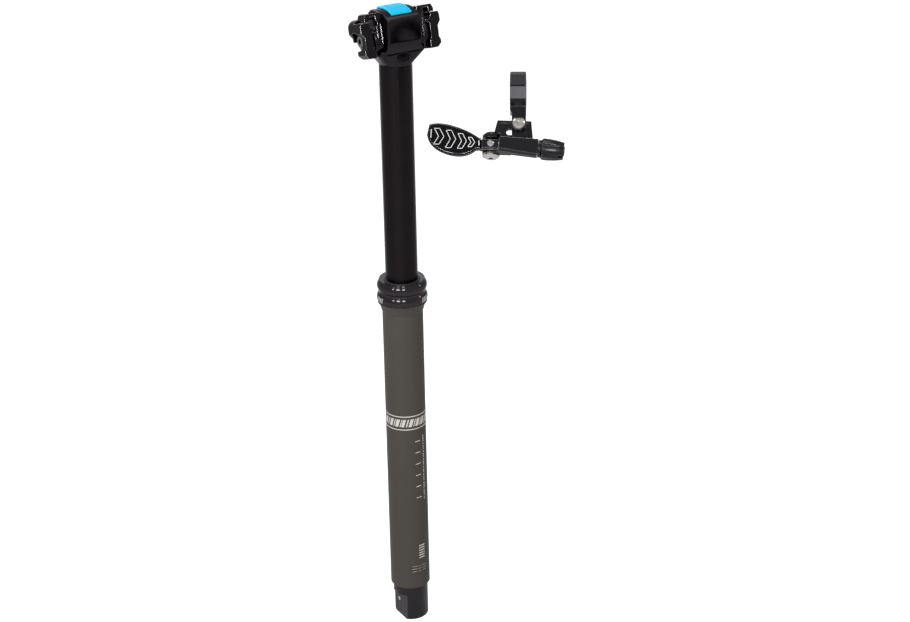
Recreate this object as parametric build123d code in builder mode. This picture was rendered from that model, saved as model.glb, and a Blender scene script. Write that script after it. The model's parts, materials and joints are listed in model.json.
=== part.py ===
from build123d import *
import math
import os

# A dropper seatpost for a 31.6 mm seat tube, with the under-bar lever that works it.
# Lengths are in millimetres and angles in degrees. +Z runs up the post, X runs across the
# bicycle, and the origin is on the post's axis at the top of the stretch that enters the frame.

# Fits that many pieces share
seat_gap = 0.03
running_gap = 0.05
turning_gap = 0.3
overrun = 2.0

# Outer tube, which the bicycle frame holds
post_radius = 15.8
tube_length = 241.0
tube_bore_radius = 14.3
tube_end_chamfer = 1.2
step_height = 1.3
step_radius = 16.4
flare_height = 8.5
flare_radius = 19.2
flare_lip = 0.7
flare_curve = 14.0
thread_radius = 16.6
thread_top = 19.0
keyway_depth = 0.7
keyway_top_drop = 3.0

# Seal head, a turned collar screwed over the outer tube's thread
collar_height = 18.0
lower_band_radius = 19.7
lower_band_rise = 3.2
lower_band_height = 7.6
waist_radius = 18.1
waist_height = 1.6
upper_band_radius = 19.4
upper_band_rise = 3.8
upper_band_height = 7.4
rim_radius = 17.6
rim_dish = 0.9
collar_mouth_radius = 13.9
seal_pocket_radius = 15.2
seal_pocket_top = 24.0
wiper_base_height = 3.2
wiper_lip_height = 2.0
wiper_lip_wall = 0.9
wiper_groove_depth = 0.5
foam_height = 1.4

# Upper bushing, which guides the stanchion
bushing_bottom = 1.5
bushing_height = 16.0

# Stanchion, the moving upper tube
stanchion_radius = 12.5
stanchion_bore_radius = 10.9
stanchion_top = 198.5
stanchion_overlap = 58.0
bush_seat_depth = 0.5
bush_height = 9.0
key_count = 3
key_width = 3.0
key_height = 12.0
key_inner_radius = 11.7
key_outer_radius = 14.85
key_rise = 3.0

# Gas spring cartridge
cartridge_radius = 9.5
cartridge_wall = 1.2
cartridge_top = 4.0
foot_radius = 10.0
foot_height = 10.0
foot_spigot = 6.0
gland_depth = 10.0
gland_flange = 2.0
rod_radius = 4.0
rod_into_head = 12.0
piston_bottom = -46.0
piston_height = 8.0
valve_pin_radius = 1.5

# Lower plug with the actuator inside it
plug_radius = 13.9
plug_length = 30.0
plug_thread_height = 9.0
plug_foot_floor = 1.0
plug_edge = 2.0
cover_face = 9.2
cover_thickness = 2.0
cover_top_drop = 7.0
cover_screw_y = 3.1
cover_screw_drop = 16.1
cover_screw_radius = 1.0
cover_head_radius = 1.5
cover_head_height = 0.7
cover_screw_length = 4.5
cavity_half_width = 3.2
cavity_roof_rise = 4.2
cavity_floor_drop = 8.0
cavity_end_wall = 1.7
pin_hole_gap = 0.9
cam_pivot_x = 3.0
cam_pivot_drop = 9.0
cam_half_width = 2.6
cam_hub_radius = 2.6
cam_nose_rise = 0.6
cam_nose_radius = 1.8
cam_pin_radius = 1.25
cam_pin_length = 22.0
cam_cable_arm = 5.5
anchor_radius = 2.0
anchor_wall = 0.9
inner_cable_radius = 0.6
housing_radius = 2.5
housing_gap = 0.1
housing_seat_depth = 7.5

# Head forging
bolt_axis_z = 218.5
barrel_half_width = 14.5
barrel_half_depth = 16.6
barrel_centre_z = 219.5
barrel_corner = 10.0
crown_top_z = 239.6
crown_radius = 32.0
barrel_edge = 1.6
neck_radius = 12.9
neck_bottom_drop = 1.0
neck_flank_height = 10.5
wing_half_width = 19.6
wing_half_depth = 13.5
wing_corner = 6.0
wing_height = 3.5
forging_spigot = 17.0
barrel_bore_radius = 4.2
pocket_half_width = 6.0
pocket_half_height = 3.2
pocket_rise = 7.0
pocket_depth = 1.6

# Blue pad on top of the head
pad_thickness = 1.6
pad_half_width = 8.3
pad_half_depth = 11.3
pad_edge = 0.5

# Saddle rail clamps. Their heights are measured from the bolt's axis, in a frame that is
# turned about the bolt so that the rails lie level on a seat tube of the usual angle.
clamp_tilt = 16.0
clamp_half_length = 12.0
rail_spacing = 44.0
rail_radius = 3.5
rail_gap = 0.05
rail_height = 11.6
inner_thickness = 4.8
inner_top = 19.0
inner_hook_reach = 6.6
inner_hook_tip = 2.4
inner_hook_half_length = 5.6
inner_hook_corner = 1.4
drum_thickness = 7.6
drum_top = 5.2
drum_edge = 1.6
rib_height = 22.0
rib_depth = 0.7
rib_width = 2.0
outer_gap_x = 24.0
outer_toe_x = 22.7
outer_toe = -7.6
outer_bottom = -13.2
outer_top = 15.9
outer_face_x = 32.8
outer_waist_x = 30.4
outer_foot_x = 31.5
outer_waist_low = -5.6
outer_waist_high = 2.6
outer_flare_height = 3.4
outer_jaw = 7.0
outer_jaw_tip_x = 20.8
outer_corner = 3.0
outer_foot_half_length = 6.2
outer_foot_shift = 5.2
outer_short_end = 8.0
outer_lobe_bottom = 0.4
notch_gap = 0.4
dish_radius = 6.9
dish_floor_x = 25.4

# Clamp bolt, its washers and its nut
bolt_radius = 3.0
bolt_head_radius = 4.7
bolt_head_height = 2.6
bolt_socket_radius = 2.3
bolt_socket_depth = 2.0
bolt_end_x = 27.6
washer_thickness = 2.0
washer_dish = 0.9
nut_sleeve_radius = 4.0
nut_sleeve_length = 3.8

# Place and lean of the bar lever
lever_place_x = 46.4
lever_place_y = -96.1
lever_place_z = 191.6
lever_yaw = -33.0
lever_lean = 39.0

# Handlebar band, in the lever's own frame: x along the bar, y away from the rider, z up
bar_radius = 11.1
band_radius = 15.6
band_width = 11.4
band_x = 0.2
tab_x = 0.9
tab_half_width = 5.0
band_flat_inset = 0.6
band_flat_count = 10
front_tab_front = 8.2
front_tab_back = 5.4
rear_tab_front = 4.9
rear_tab_back = 1.7
rear_tab_bottom = 35.0
rear_tab_corner = 3.0
rear_tab_skin = 0.9
band_screw_drop = 25.6
band_screw_radius = 2.0
band_dome_radius = 4.4
band_dome_height = 2.6
band_socket_radius = 1.7

# Bracket that carries the lever. It sits a little aside of the band and slightly turned about
# the screw that holds it.
bracket_shift = 2.2
bracket_swivel = 2.0
plate_front = 1.6
plate_back = 1.5
plate_top = 21.3
plate_bottom = 35.4
plate_top_left = 12.4
plate_top_right = 11.6
plate_low_left = 15.4
plate_low_right = 13.4
plate_corner = 2.4
recess_depth = 1.0
recess_rim = 1.7
slot_drop = 29.7
slot_half_height = 2.1
slot_centre_x = 1.0
slot_run = 4.9
bracket_screw_radius = 2.0
bracket_head_radius = 3.8
bracket_head_height = 2.2
arm_front = 12.2
arm_left = 10.2
arm_right = 17.2
arm_top_left = 4.4
arm_top_right = 5.4
arm_low_left = 5.8
arm_low_right = 7.2
arm_chamfer = 1.6
arm_back_cut = 4.6
cable_slope = 4.6
cable_y = -7.0
cable_drop = 41.0

# Lever pivot
pivot_x = -16.0
pivot_y = 1.0
pivot_bolt_radius = 2.5
upper_ear_top = 30.8
upper_ear_radius = 6.6
upper_ear_edge = 1.8
upper_ear_bottom = 35.4
lower_ear_top = 44.4
lower_ear_bottom = 46.6
lower_ear_radius = 6.3
pivot_dome_radius = 6.1
pivot_dome_height = 2.7
pivot_socket_radius = 2.0
hub_radius = 5.5
hub_end_gap = 0.2
hub_neck_radius = 3.9
hub_neck_height = 3.2
bush_wall = 0.8
bush_length = 3.0
spring_wire_radius = 0.35
spring_coil_radius = 4.5
spring_turns = 3.5

# Thumb lever and its cable clamp
arm_block_left = 24.2
arm_block_right = 10.7
arm_block_front = 8.0
arm_block_back = 5.7
arm_block_top = 38.6
arm_block_bottom = 45.9
blade_front = 9.2
blade_thickness = 3.8
blade_overlap = 0.9
blade_rim = 1.0
blade_tip_x = -61.5
blade_tip_drop = 36.4
blade_corner_x = -60.2
blade_corner_drop = 28.5
blade_top_x = -54.0
blade_top_drop = 27.4
blade_shoulder_x = -43.4
blade_shoulder_drop = 28.9
blade_mid_x = -32.4
blade_mid_top_drop = 32.9
blade_neck_top_drop = 37.6
blade_neck_x = -26.6
blade_neck_low_drop = 46.4
blade_low_x = -37.5
blade_low_drop = 51.0
blade_belly_x = -46.5
blade_belly_drop = 49.8
blade_heel_x = -56.6
blade_heel_drop = 44.6
plate_clamp_top = 38.9
plate_clamp_bottom = 45.7
plate_clamp_thickness = 3.1
plate_clamp_left = 22.4
plate_clamp_edge = 0.5
pinch_x = -16.2
pinch_drop = 42.3
pinch_radius = 1.25
pinch_head_radius = 2.4
pinch_head_height = 1.3
pinch_length = 8.5

# Barrel adjuster
knob_neck_radius = 6.2
knob_neck_length = 1.6
knob_radius = 7.7
knob_end_radius = 6.1
knob_length = 18.0
knob_shoulder_share = 0.28
knob_lobes = 6
knob_flute_radius = 2.6
knob_flute_bite = 1.3
knob_slot_depth = 3.4
knob_slot_width = 2.4
knob_wall = 1.6
sleeve_radius = 3.4
sleeve_inside = 9.0
sleeve_out = 0.6
sleeve_housing_depth = 9.0


# Values worked out from the ones above
tube_bottom = -tube_length
collar_bottom = flare_height
collar_top = collar_bottom + collar_height
stanchion_bottom = -stanchion_overlap
bush_seat_radius = stanchion_radius - bush_seat_depth
bush_top = stanchion_bottom + bush_height
key_bottom = bush_top + key_rise
plug_top = tube_bottom + plug_thread_height
plug_bottom = tube_bottom - plug_length
foot_bottom = tube_bottom + plug_foot_floor
foot_top = foot_bottom + foot_height
cam_pivot_z = tube_bottom - cam_pivot_drop
cavity_roof = cam_pivot_z + cavity_roof_rise
cavity_floor = cam_pivot_z - cavity_floor_drop
cavity_end = plug_radius - cavity_end_wall
cam_nose_z = cam_pivot_z + cam_nose_rise
cable_bore_x = cam_pivot_x + cam_cable_arm
housing_bore_radius = housing_radius + housing_gap
spigot_bottom = stanchion_top - forging_spigot
rail_x = rail_spacing / 2
groove_radius = rail_radius + rail_gap
clamp_face_x = barrel_half_width + turning_gap
inner_face_x = clamp_face_x + inner_thickness
tilt = math.radians(clamp_tilt)
rail_way = Vector(0, math.cos(tilt), -math.sin(tilt))
bolt_centre = Vector(0, 0, bolt_axis_z)
wing_z = stanchion_top - neck_bottom_drop + neck_flank_height
clamp_round = clamp_half_length
bolt_hole_radius = bolt_radius + turning_gap
washer_face_x = dish_floor_x + washer_thickness


def revolved_ring(points):
    """Outline in the XZ half plane, made of straight sides between the given corners."""
    with BuildSketch(Plane.XZ) as outline:
        with BuildLine():
            Polyline(*points, close=True)
        make_face()
    return outline.sketch


def annulus(plane, outer, inner):
    """Flat ring between two radii, on a plane."""
    with BuildSketch(plane) as ring:
        Circle(outer)
        Circle(inner, mode=Mode.SUBTRACT)
    return ring.sketch


def disc(plane, radius):
    """Flat disc on a plane, around the plane's origin."""
    with BuildSketch(plane) as face:
        Circle(radius)
    return face.sketch


def across(x, y=0.0, z=0.0):
    """Plane that faces +X, with Y to its right and Z up."""
    return Plane(origin=(x, y, z), x_dir=(0, 1, 0), z_dir=(1, 0, 0))


def write(piece, name):
    """Labels a finished piece and writes it to its own file."""
    piece.part.label = name
    export_step(piece.part, f"parts/{name}.step")


os.makedirs("parts", exist_ok=True)

# Outer tube: plain below, with a step and a flare that carries the seal head's thread
with BuildPart() as outer_tube:
    with BuildSketch(Plane.XZ):
        with BuildLine():
            Polyline(
                (tube_bore_radius, thread_top),
                (tube_bore_radius, tube_bottom),
                (post_radius - tube_end_chamfer, tube_bottom),
                (post_radius, tube_bottom + tube_end_chamfer),
                (post_radius, 0),
                (step_radius, step_height),
            )
            RadiusArc(
                (step_radius, step_height),
                (flare_radius, flare_height - flare_lip),
                flare_curve,
            )
            Polyline(
                (flare_radius, flare_height - flare_lip),
                (flare_radius, flare_height),
                (thread_radius, flare_height),
                (thread_radius, thread_top),
                (tube_bore_radius, thread_top),
            )
        make_face()
    revolve(axis=Axis.Z)
    keyway_radius = tube_bore_radius + keyway_depth
    keyway_width = key_width + running_gap + running_gap
    keyway_height = tube_length - plug_thread_height - keyway_top_drop
    with BuildSketch(Plane.XY.offset(plug_top)):
        with PolarLocations(0, key_count):
            with Locations((keyway_radius / 2, 0)):
                Rectangle(keyway_radius, keyway_width)
    extrude(amount=keyway_height, mode=Mode.SUBTRACT)
write(outer_tube, "outer_tube")

# Seal head: two rounded bands with a waist, and a dished top ring
with BuildPart() as seal_collar:
    band_foot = lower_band_radius - rim_dish
    waist_low = collar_bottom + lower_band_height
    waist_high = waist_low + waist_height
    band_high = waist_high + upper_band_height
    thread_bore = thread_radius + seat_gap
    shelf = thread_top + running_gap
    with BuildSketch(Plane.XZ):
        with BuildLine():
            ThreePointArc(
                (band_foot, collar_bottom),
                (lower_band_radius, collar_bottom + lower_band_rise),
                (waist_radius, waist_low),
            )
            Line((waist_radius, waist_low), (waist_radius, waist_high))
            ThreePointArc(
                (waist_radius, waist_high),
                (upper_band_radius, waist_high + upper_band_rise),
                (waist_radius, band_high),
            )
            Polyline(
                (waist_radius, band_high),
                (rim_radius, collar_top),
                (collar_mouth_radius, collar_top - rim_dish),
                (collar_mouth_radius, seal_pocket_top),
                (seal_pocket_radius, seal_pocket_top),
                (seal_pocket_radius, shelf),
                (thread_bore, shelf),
                (thread_bore, collar_bottom),
                (band_foot, collar_bottom),
            )
        make_face()
    revolve(axis=Axis.Z)
write(seal_collar, "seal_collar")

# Wiper seal: a rubber ring with a lip that sweeps the stanchion
with BuildPart() as wiper_seal:
    wiper_bore = stanchion_radius + running_gap
    wiper_outer = seal_pocket_radius - seat_gap
    wiper_top = seal_pocket_top - seat_gap
    wiper_low = wiper_top - wiper_base_height
    wiper_mid = wiper_top - wiper_base_height / 2
    lip_top = seal_pocket_top + wiper_lip_height
    wiper_profile = revolved_ring(
        [
            (wiper_bore, wiper_low),
            (wiper_outer, wiper_low),
            (wiper_outer, wiper_top),
            (collar_mouth_radius - seat_gap, wiper_top),
            (wiper_bore + wiper_lip_wall, lip_top),
            (wiper_bore, lip_top),
            (wiper_bore, wiper_top),
            (wiper_bore + wiper_groove_depth, wiper_mid),
        ]
    )
    revolve(wiper_profile, axis=Axis.Z)
write(wiper_seal, "wiper_seal")

# Foam ring: holds oil under the wiper
with BuildPart() as foam_ring:
    foam_bottom = thread_top + seat_gap
    foam_plane = Plane.XY.offset(foam_bottom)
    foam_bore = stanchion_radius + running_gap
    extrude(annulus(foam_plane, seal_pocket_radius - seat_gap, foam_bore), amount=foam_height)
write(foam_ring, "foam_ring")

# Upper bushing: a plain sleeve pressed into the outer tube
with BuildPart() as upper_bushing:
    bushing_plane = Plane.XY.offset(bushing_bottom)
    bushing_outer = tube_bore_radius - seat_gap
    bushing_bore = stanchion_radius + running_gap
    extrude(annulus(bushing_plane, bushing_outer, bushing_bore), amount=bushing_height)
    chamfer(upper_bushing.edges().filter_by(GeomType.CIRCLE), seat_gap * key_width)
write(upper_bushing, "upper_bushing")

# Stanchion: a long tube with a seat for the guide bush and slots for the keys
with BuildPart() as stanchion:
    stanchion_length = stanchion_top - stanchion_bottom
    low_plane = Plane.XY.offset(stanchion_bottom)
    extrude(annulus(low_plane, stanchion_radius, stanchion_bore_radius), amount=stanchion_length)
    extrude(
        annulus(low_plane, stanchion_radius + overrun, bush_seat_radius),
        amount=bush_height,
        mode=Mode.SUBTRACT,
    )
    with BuildSketch(Plane.XY.offset(key_bottom)):
        with PolarLocations(0, key_count):
            with Locations((key_inner_radius + stanchion_radius / 2, 0)):
                Rectangle(stanchion_radius, key_width + seat_gap)
    extrude(amount=key_height + seat_gap, mode=Mode.SUBTRACT)
write(stanchion, "stanchion")

# Guide bush: runs in the outer tube's bore at the stanchion's foot
with BuildPart() as guide_bush:
    guide_outer = tube_bore_radius - running_gap
    guide_bore = bush_seat_radius + seat_gap
    extrude(annulus(low_plane, guide_outer, guide_bore), amount=bush_height - seat_gap)
write(guide_bush, "guide_bush")

# Brass keys: stop the stanchion from turning in the outer tube
with BuildPart() as anti_rotation_keys:
    key_depth = key_outer_radius - key_inner_radius - seat_gap
    key_middle = key_outer_radius - key_depth / 2
    with BuildSketch(Plane.XY.offset(key_bottom + seat_gap)):
        with PolarLocations(0, key_count):
            with Locations((key_middle, 0)):
                Rectangle(key_depth, key_width - seat_gap)
    extrude(amount=key_height - seat_gap)
write(anti_rotation_keys, "anti_rotation_keys")

# Gas spring: cylinder, foot with the valve seat, and gland
cylinder_bore = cartridge_radius - cartridge_wall
with BuildPart() as cartridge_tube:
    foot_plane = Plane.XY.offset(foot_top)
    cylinder_length = cartridge_top - foot_top
    extrude(annulus(foot_plane, cartridge_radius, cylinder_bore), amount=cylinder_length)
write(cartridge_tube, "cartridge_tube")

pin_hole_radius = valve_pin_radius + running_gap
with BuildPart() as cartridge_foot:
    base_plane = Plane.XY.offset(foot_bottom)
    extrude(annulus(base_plane, foot_radius, pin_hole_radius), amount=foot_height)
    extrude(
        annulus(foot_plane, cylinder_bore - seat_gap, pin_hole_radius),
        amount=foot_spigot,
    )
write(cartridge_foot, "cartridge_foot")

rod_bore = rod_radius + running_gap
with BuildPart() as cartridge_gland:
    gland_plane = Plane.XY.offset(cartridge_top - gland_depth)
    extrude(annulus(gland_plane, cylinder_bore - seat_gap, rod_bore), amount=gland_depth)
    gland_top_plane = Plane.XY.offset(cartridge_top)
    extrude(annulus(gland_top_plane, cartridge_radius, rod_bore), amount=gland_flange)
write(cartridge_gland, "cartridge_gland")

# Rod: polished, screwed into the head above and carrying the piston below
with BuildPart() as cartridge_rod:
    rod_top = spigot_bottom + rod_into_head
    extrude(disc(Plane.XY.offset(piston_bottom), rod_radius), amount=rod_top - piston_bottom)
write(cartridge_rod, "cartridge_rod")

with BuildPart() as cartridge_piston:
    piston_plane = Plane.XY.offset(piston_bottom)
    piston_outer = cylinder_bore - running_gap
    extrude(annulus(piston_plane, piston_outer, rod_radius + seat_gap), amount=piston_height)
    with BuildSketch(Plane.XY.offset(piston_bottom + piston_height / 2 - cartridge_wall / 2)):
        Circle(piston_outer + overrun)
        Circle(piston_outer - cartridge_wall, mode=Mode.SUBTRACT)
    extrude(amount=cartridge_wall, mode=Mode.SUBTRACT)
write(cartridge_piston, "cartridge_piston")

# Valve pin: the cam lifts it to open the gas spring
with BuildPart() as valve_pin:
    pin_bottom = cam_nose_z + cam_nose_radius + turning_gap
    pin_top = foot_top + foot_spigot + overrun
    extrude(disc(Plane.XY.offset(pin_bottom), valve_pin_radius), amount=pin_top - pin_bottom)
    chamfer(valve_pin.edges(), running_gap * key_width)
write(valve_pin, "valve_pin")

# Lower plug: screwed into the outer tube, hollowed for the cam, and flat on one side
cover_top = tube_bottom - cover_top_drop
cover_back = cover_face - cover_thickness
with BuildPart() as lower_plug:
    extrude(disc(Plane.XY.offset(plug_bottom), plug_radius), amount=plug_length)
    fillet(lower_plug.edges().sort_by(Axis.Z)[0], plug_edge)
    extrude(
        disc(Plane.XY.offset(tube_bottom), tube_bore_radius - seat_gap),
        amount=plug_thread_height,
    )
    extrude(
        disc(base_plane, foot_radius + seat_gap),
        amount=plug_thread_height,
        mode=Mode.SUBTRACT,
    )
    with BuildSketch(Plane.XZ.offset(-plug_radius - overrun)):
        with Locations((-plug_radius - cover_back, (cover_top + plug_bottom - overrun) / 2)):
            Rectangle(plug_radius + plug_radius, cover_top - plug_bottom + overrun)
    extrude(amount=(plug_radius + overrun) * 2, mode=Mode.SUBTRACT)
    with BuildSketch(Plane.XZ.offset(-cavity_half_width)):
        with Locations(((cavity_end - plug_radius) / 2, (cavity_roof + cavity_floor) / 2)):
            Rectangle(cavity_end + plug_radius, cavity_roof - cavity_floor)
    extrude(amount=cavity_half_width * 2, mode=Mode.SUBTRACT)
    extrude(
        disc(Plane.XY.offset(cavity_roof - overrun), valve_pin_radius + pin_hole_gap),
        amount=foot_bottom - cavity_roof + overrun + overrun,
        mode=Mode.SUBTRACT,
    )
    housing_plane = Plane(origin=(cable_bore_x, 0, plug_bottom))
    extrude(disc(housing_plane, housing_bore_radius), amount=housing_seat_depth, mode=Mode.SUBTRACT)
    extrude(
        disc(housing_plane, inner_cable_radius + turning_gap),
        amount=cavity_floor - plug_bottom + overrun,
        mode=Mode.SUBTRACT,
    )
    pin_plane = Plane(
        origin=(cam_pivot_x, cam_pin_length / 2, cam_pivot_z), x_dir=(1, 0, 0), z_dir=(0, -1, 0)
    )
    pin_hole = Plane(
        origin=(cam_pivot_x, plug_radius, cam_pivot_z), x_dir=(1, 0, 0), z_dir=(0, -1, 0)
    )
    extrude(
        disc(pin_hole, cam_pin_radius + seat_gap),
        amount=plug_radius + cam_pin_length / 2 + seat_gap,
        mode=Mode.SUBTRACT,
    )
    screw_z = tube_bottom - cover_screw_drop
    screw_plane = across(-cover_face, cover_screw_y, screw_z)
    extrude(
        disc(screw_plane, cover_screw_radius + seat_gap),
        amount=cover_screw_length + seat_gap,
        mode=Mode.SUBTRACT,
    )
write(lower_plug, "lower_plug")

# Cover: the flat on the plug's side, which closes the cam's chamber
with BuildPart() as actuator_cover:
    extrude(disc(Plane.XY.offset(plug_bottom), plug_radius), amount=cover_top - plug_bottom - seat_gap)
    fillet(actuator_cover.edges().sort_by(Axis.Z)[0], plug_edge)
    with BuildSketch(Plane.XY.offset(plug_bottom)):
        with Locations((-cover_back - seat_gap - (cover_thickness - seat_gap) / 2, 0)):
            Rectangle(cover_thickness - seat_gap, plug_radius * 2)
    extrude(amount=plug_length, mode=Mode.INTERSECT)
    extrude(
        disc(screw_plane, cover_screw_radius + seat_gap),
        amount=cover_thickness + overrun,
        mode=Mode.SUBTRACT,
    )
    extrude(
        disc(screw_plane, cover_head_radius + seat_gap),
        amount=cover_head_height,
        mode=Mode.SUBTRACT,
    )
write(actuator_cover, "actuator_cover")

with BuildPart() as cover_screw:
    extrude(disc(screw_plane, cover_screw_radius), amount=cover_screw_length)
    extrude(disc(screw_plane, cover_head_radius), amount=cover_head_height - seat_gap)
    with BuildSketch(screw_plane):
        RegularPolygon(cover_screw_radius / 2, 6)
    extrude(amount=cover_head_height, mode=Mode.SUBTRACT)
write(cover_screw, "cover_screw")

# Cam: a bell crank whose nose lifts the valve pin when the cable pulls its other end down
cam_plane = Plane(origin=(0, cam_half_width, 0), x_dir=(1, 0, 0), z_dir=(0, -1, 0))
with BuildPart() as actuator_cam:
    with BuildSketch(cam_plane):
        with BuildSketch(Plane.XY, mode=Mode.PRIVATE) as nose:
            with Locations((cam_pivot_x, cam_pivot_z)):
                Circle(cam_hub_radius)
            with Locations((0, cam_nose_z)):
                Circle(cam_nose_radius)
            make_hull()
        with BuildSketch(Plane.XY, mode=Mode.PRIVATE) as tail:
            with Locations((cam_pivot_x, cam_pivot_z)):
                Circle(cam_hub_radius)
            with Locations((cable_bore_x, cam_pivot_z)):
                Circle(anchor_radius + anchor_wall)
            make_hull()
        add(nose.sketch)
        add(tail.sketch)
        with Locations((cam_pivot_x, cam_pivot_z)):
            Circle(cam_pin_radius + running_gap, mode=Mode.SUBTRACT)
        with Locations((cable_bore_x, cam_pivot_z)):
            Circle(anchor_radius + seat_gap, mode=Mode.SUBTRACT)
    extrude(amount=cam_half_width * 2)
write(actuator_cam, "actuator_cam")

with BuildPart() as cam_pivot_pin:
    extrude(disc(pin_plane, cam_pin_radius), amount=cam_pin_length)
write(cam_pivot_pin, "cam_pivot_pin")

with BuildPart() as cable_anchor:
    anchor_plane = Plane(
        origin=(cable_bore_x, cam_half_width, cam_pivot_z), x_dir=(1, 0, 0), z_dir=(0, -1, 0)
    )
    extrude(disc(anchor_plane, anchor_radius), amount=cam_half_width * 2)
    with BuildSketch(Plane(origin=(cable_bore_x, 0, cam_pivot_z - anchor_radius - overrun))):
        Circle(inner_cable_radius)
    extrude(amount=(anchor_radius + overrun) * 2, mode=Mode.SUBTRACT)
write(cable_anchor, "cable_anchor")

# Barrel of the head: a drum across the post, with rounded ends and a low crown
with BuildPart() as head_barrel:
    with BuildSketch(across(-barrel_half_width)) as barrel_profile:
        with BuildLine():
            ThreePointArc(
                (-barrel_half_depth, barrel_centre_z),
                (0, barrel_centre_z - barrel_half_depth),
                (barrel_half_depth, barrel_centre_z),
            )
            crown_side_z = (
                crown_top_z
                - crown_radius
                + math.sqrt(crown_radius**2 - barrel_half_depth**2)
            )
            Line((barrel_half_depth, barrel_centre_z), (barrel_half_depth, crown_side_z))
            ThreePointArc(
                (barrel_half_depth, crown_side_z),
                (0, crown_top_z),
                (-barrel_half_depth, crown_side_z),
            )
            Line((-barrel_half_depth, crown_side_z), (-barrel_half_depth, barrel_centre_z))
        make_face()
        fillet(barrel_profile.vertices().sort_by(Axis.Z)[-2:], barrel_corner)
    extrude(amount=barrel_half_width * 2)
    end_edges = head_barrel.edges().filter_by(
        lambda edge: abs(abs(edge.center().X) - barrel_half_width) < seat_gap
        and edge.bounding_box().size.X < seat_gap
    )
    fillet(end_edges, barrel_edge)

# Head forging: a spigot in the stanchion, a neck that flares into two wings, and the barrel
with BuildPart() as head_forging:
    extrude(
        disc(Plane.XY.offset(spigot_bottom), stanchion_bore_radius - seat_gap),
        amount=forging_spigot + seat_gap,
    )
    neck_bottom = stanchion_top + seat_gap
    with BuildSketch(Plane.XY.offset(neck_bottom)):
        Circle(neck_radius)
    with BuildSketch(Plane.XY.offset(wing_z)):
        RectangleRounded(wing_half_width * 2, wing_half_depth * 2, wing_corner)
    loft()
    with BuildSketch(Plane.XY.offset(wing_z)):
        RectangleRounded(wing_half_width * 2, wing_half_depth * 2, wing_corner)
    extrude(amount=wing_height)
    for side in (-1, 1):
        seat_start = Plane(
            origin=(side * barrel_half_width, 0, bolt_axis_z), x_dir=(0, side, 0), z_dir=(side, 0, 0)
        )
        extrude(
            disc(seat_start, clamp_round + turning_gap),
            amount=wing_half_width,
            mode=Mode.SUBTRACT,
        )
    add(head_barrel.part)
    extrude(
        disc(across(-barrel_half_width - overrun, 0, bolt_axis_z), barrel_bore_radius),
        amount=(barrel_half_width + overrun) * 2,
        mode=Mode.SUBTRACT,
    )
    extrude(
        disc(Plane.XY.offset(spigot_bottom), rod_radius + seat_gap),
        amount=rod_into_head + seat_gap,
        mode=Mode.SUBTRACT,
    )
    pocket_z = stanchion_top + pocket_rise
    for side in (-1, 1):
        pocket_plane = Plane(
            origin=(0, side * (wing_half_depth - pocket_depth), pocket_z),
            x_dir=(side, 0, 0),
            z_dir=(0, -side, 0),
        )
        with BuildSketch(pocket_plane):
            Ellipse(pocket_half_width, pocket_half_height)
        extrude(amount=-wing_half_depth, mode=Mode.SUBTRACT)
write(head_forging, "head_forging")

# Blue pad: a thin moulded strip on the head's crown
with BuildPart() as head_pad:
    crown_centre_z = crown_top_z - crown_radius
    pad_low = crown_radius + seat_gap
    pad_high = crown_radius + pad_thickness
    with BuildSketch(across(-pad_half_width, 0, crown_centre_z)):
        Circle(pad_high)
        Circle(pad_low, mode=Mode.SUBTRACT)
        with Locations((0, crown_radius)):
            Rectangle(pad_half_depth * 2, crown_radius, mode=Mode.INTERSECT)
    extrude(amount=pad_half_width * 2)
    pad_top = head_pad.faces().filter_by(GeomType.CYLINDER).sort_by(Axis.Z)[-1]
    chamfer(pad_top.edges(), pad_edge)
write(head_pad, "head_pad")


def end_plane(side):
    """Plane over one end of the clamps, with x outwards and y up from the bolt's axis."""
    return Plane(
        origin=bolt_centre + rail_way * (side * clamp_half_length),
        x_dir=(side, 0, 0),
        z_dir=rail_way * -side,
    )


def outward_plane(side, x):
    """Plane square to the bolt that faces outwards, with x along the rail and y up."""
    return Plane(
        origin=bolt_centre + Vector(side * x, 0, 0), x_dir=rail_way * side, z_dir=(side, 0, 0)
    )


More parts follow.
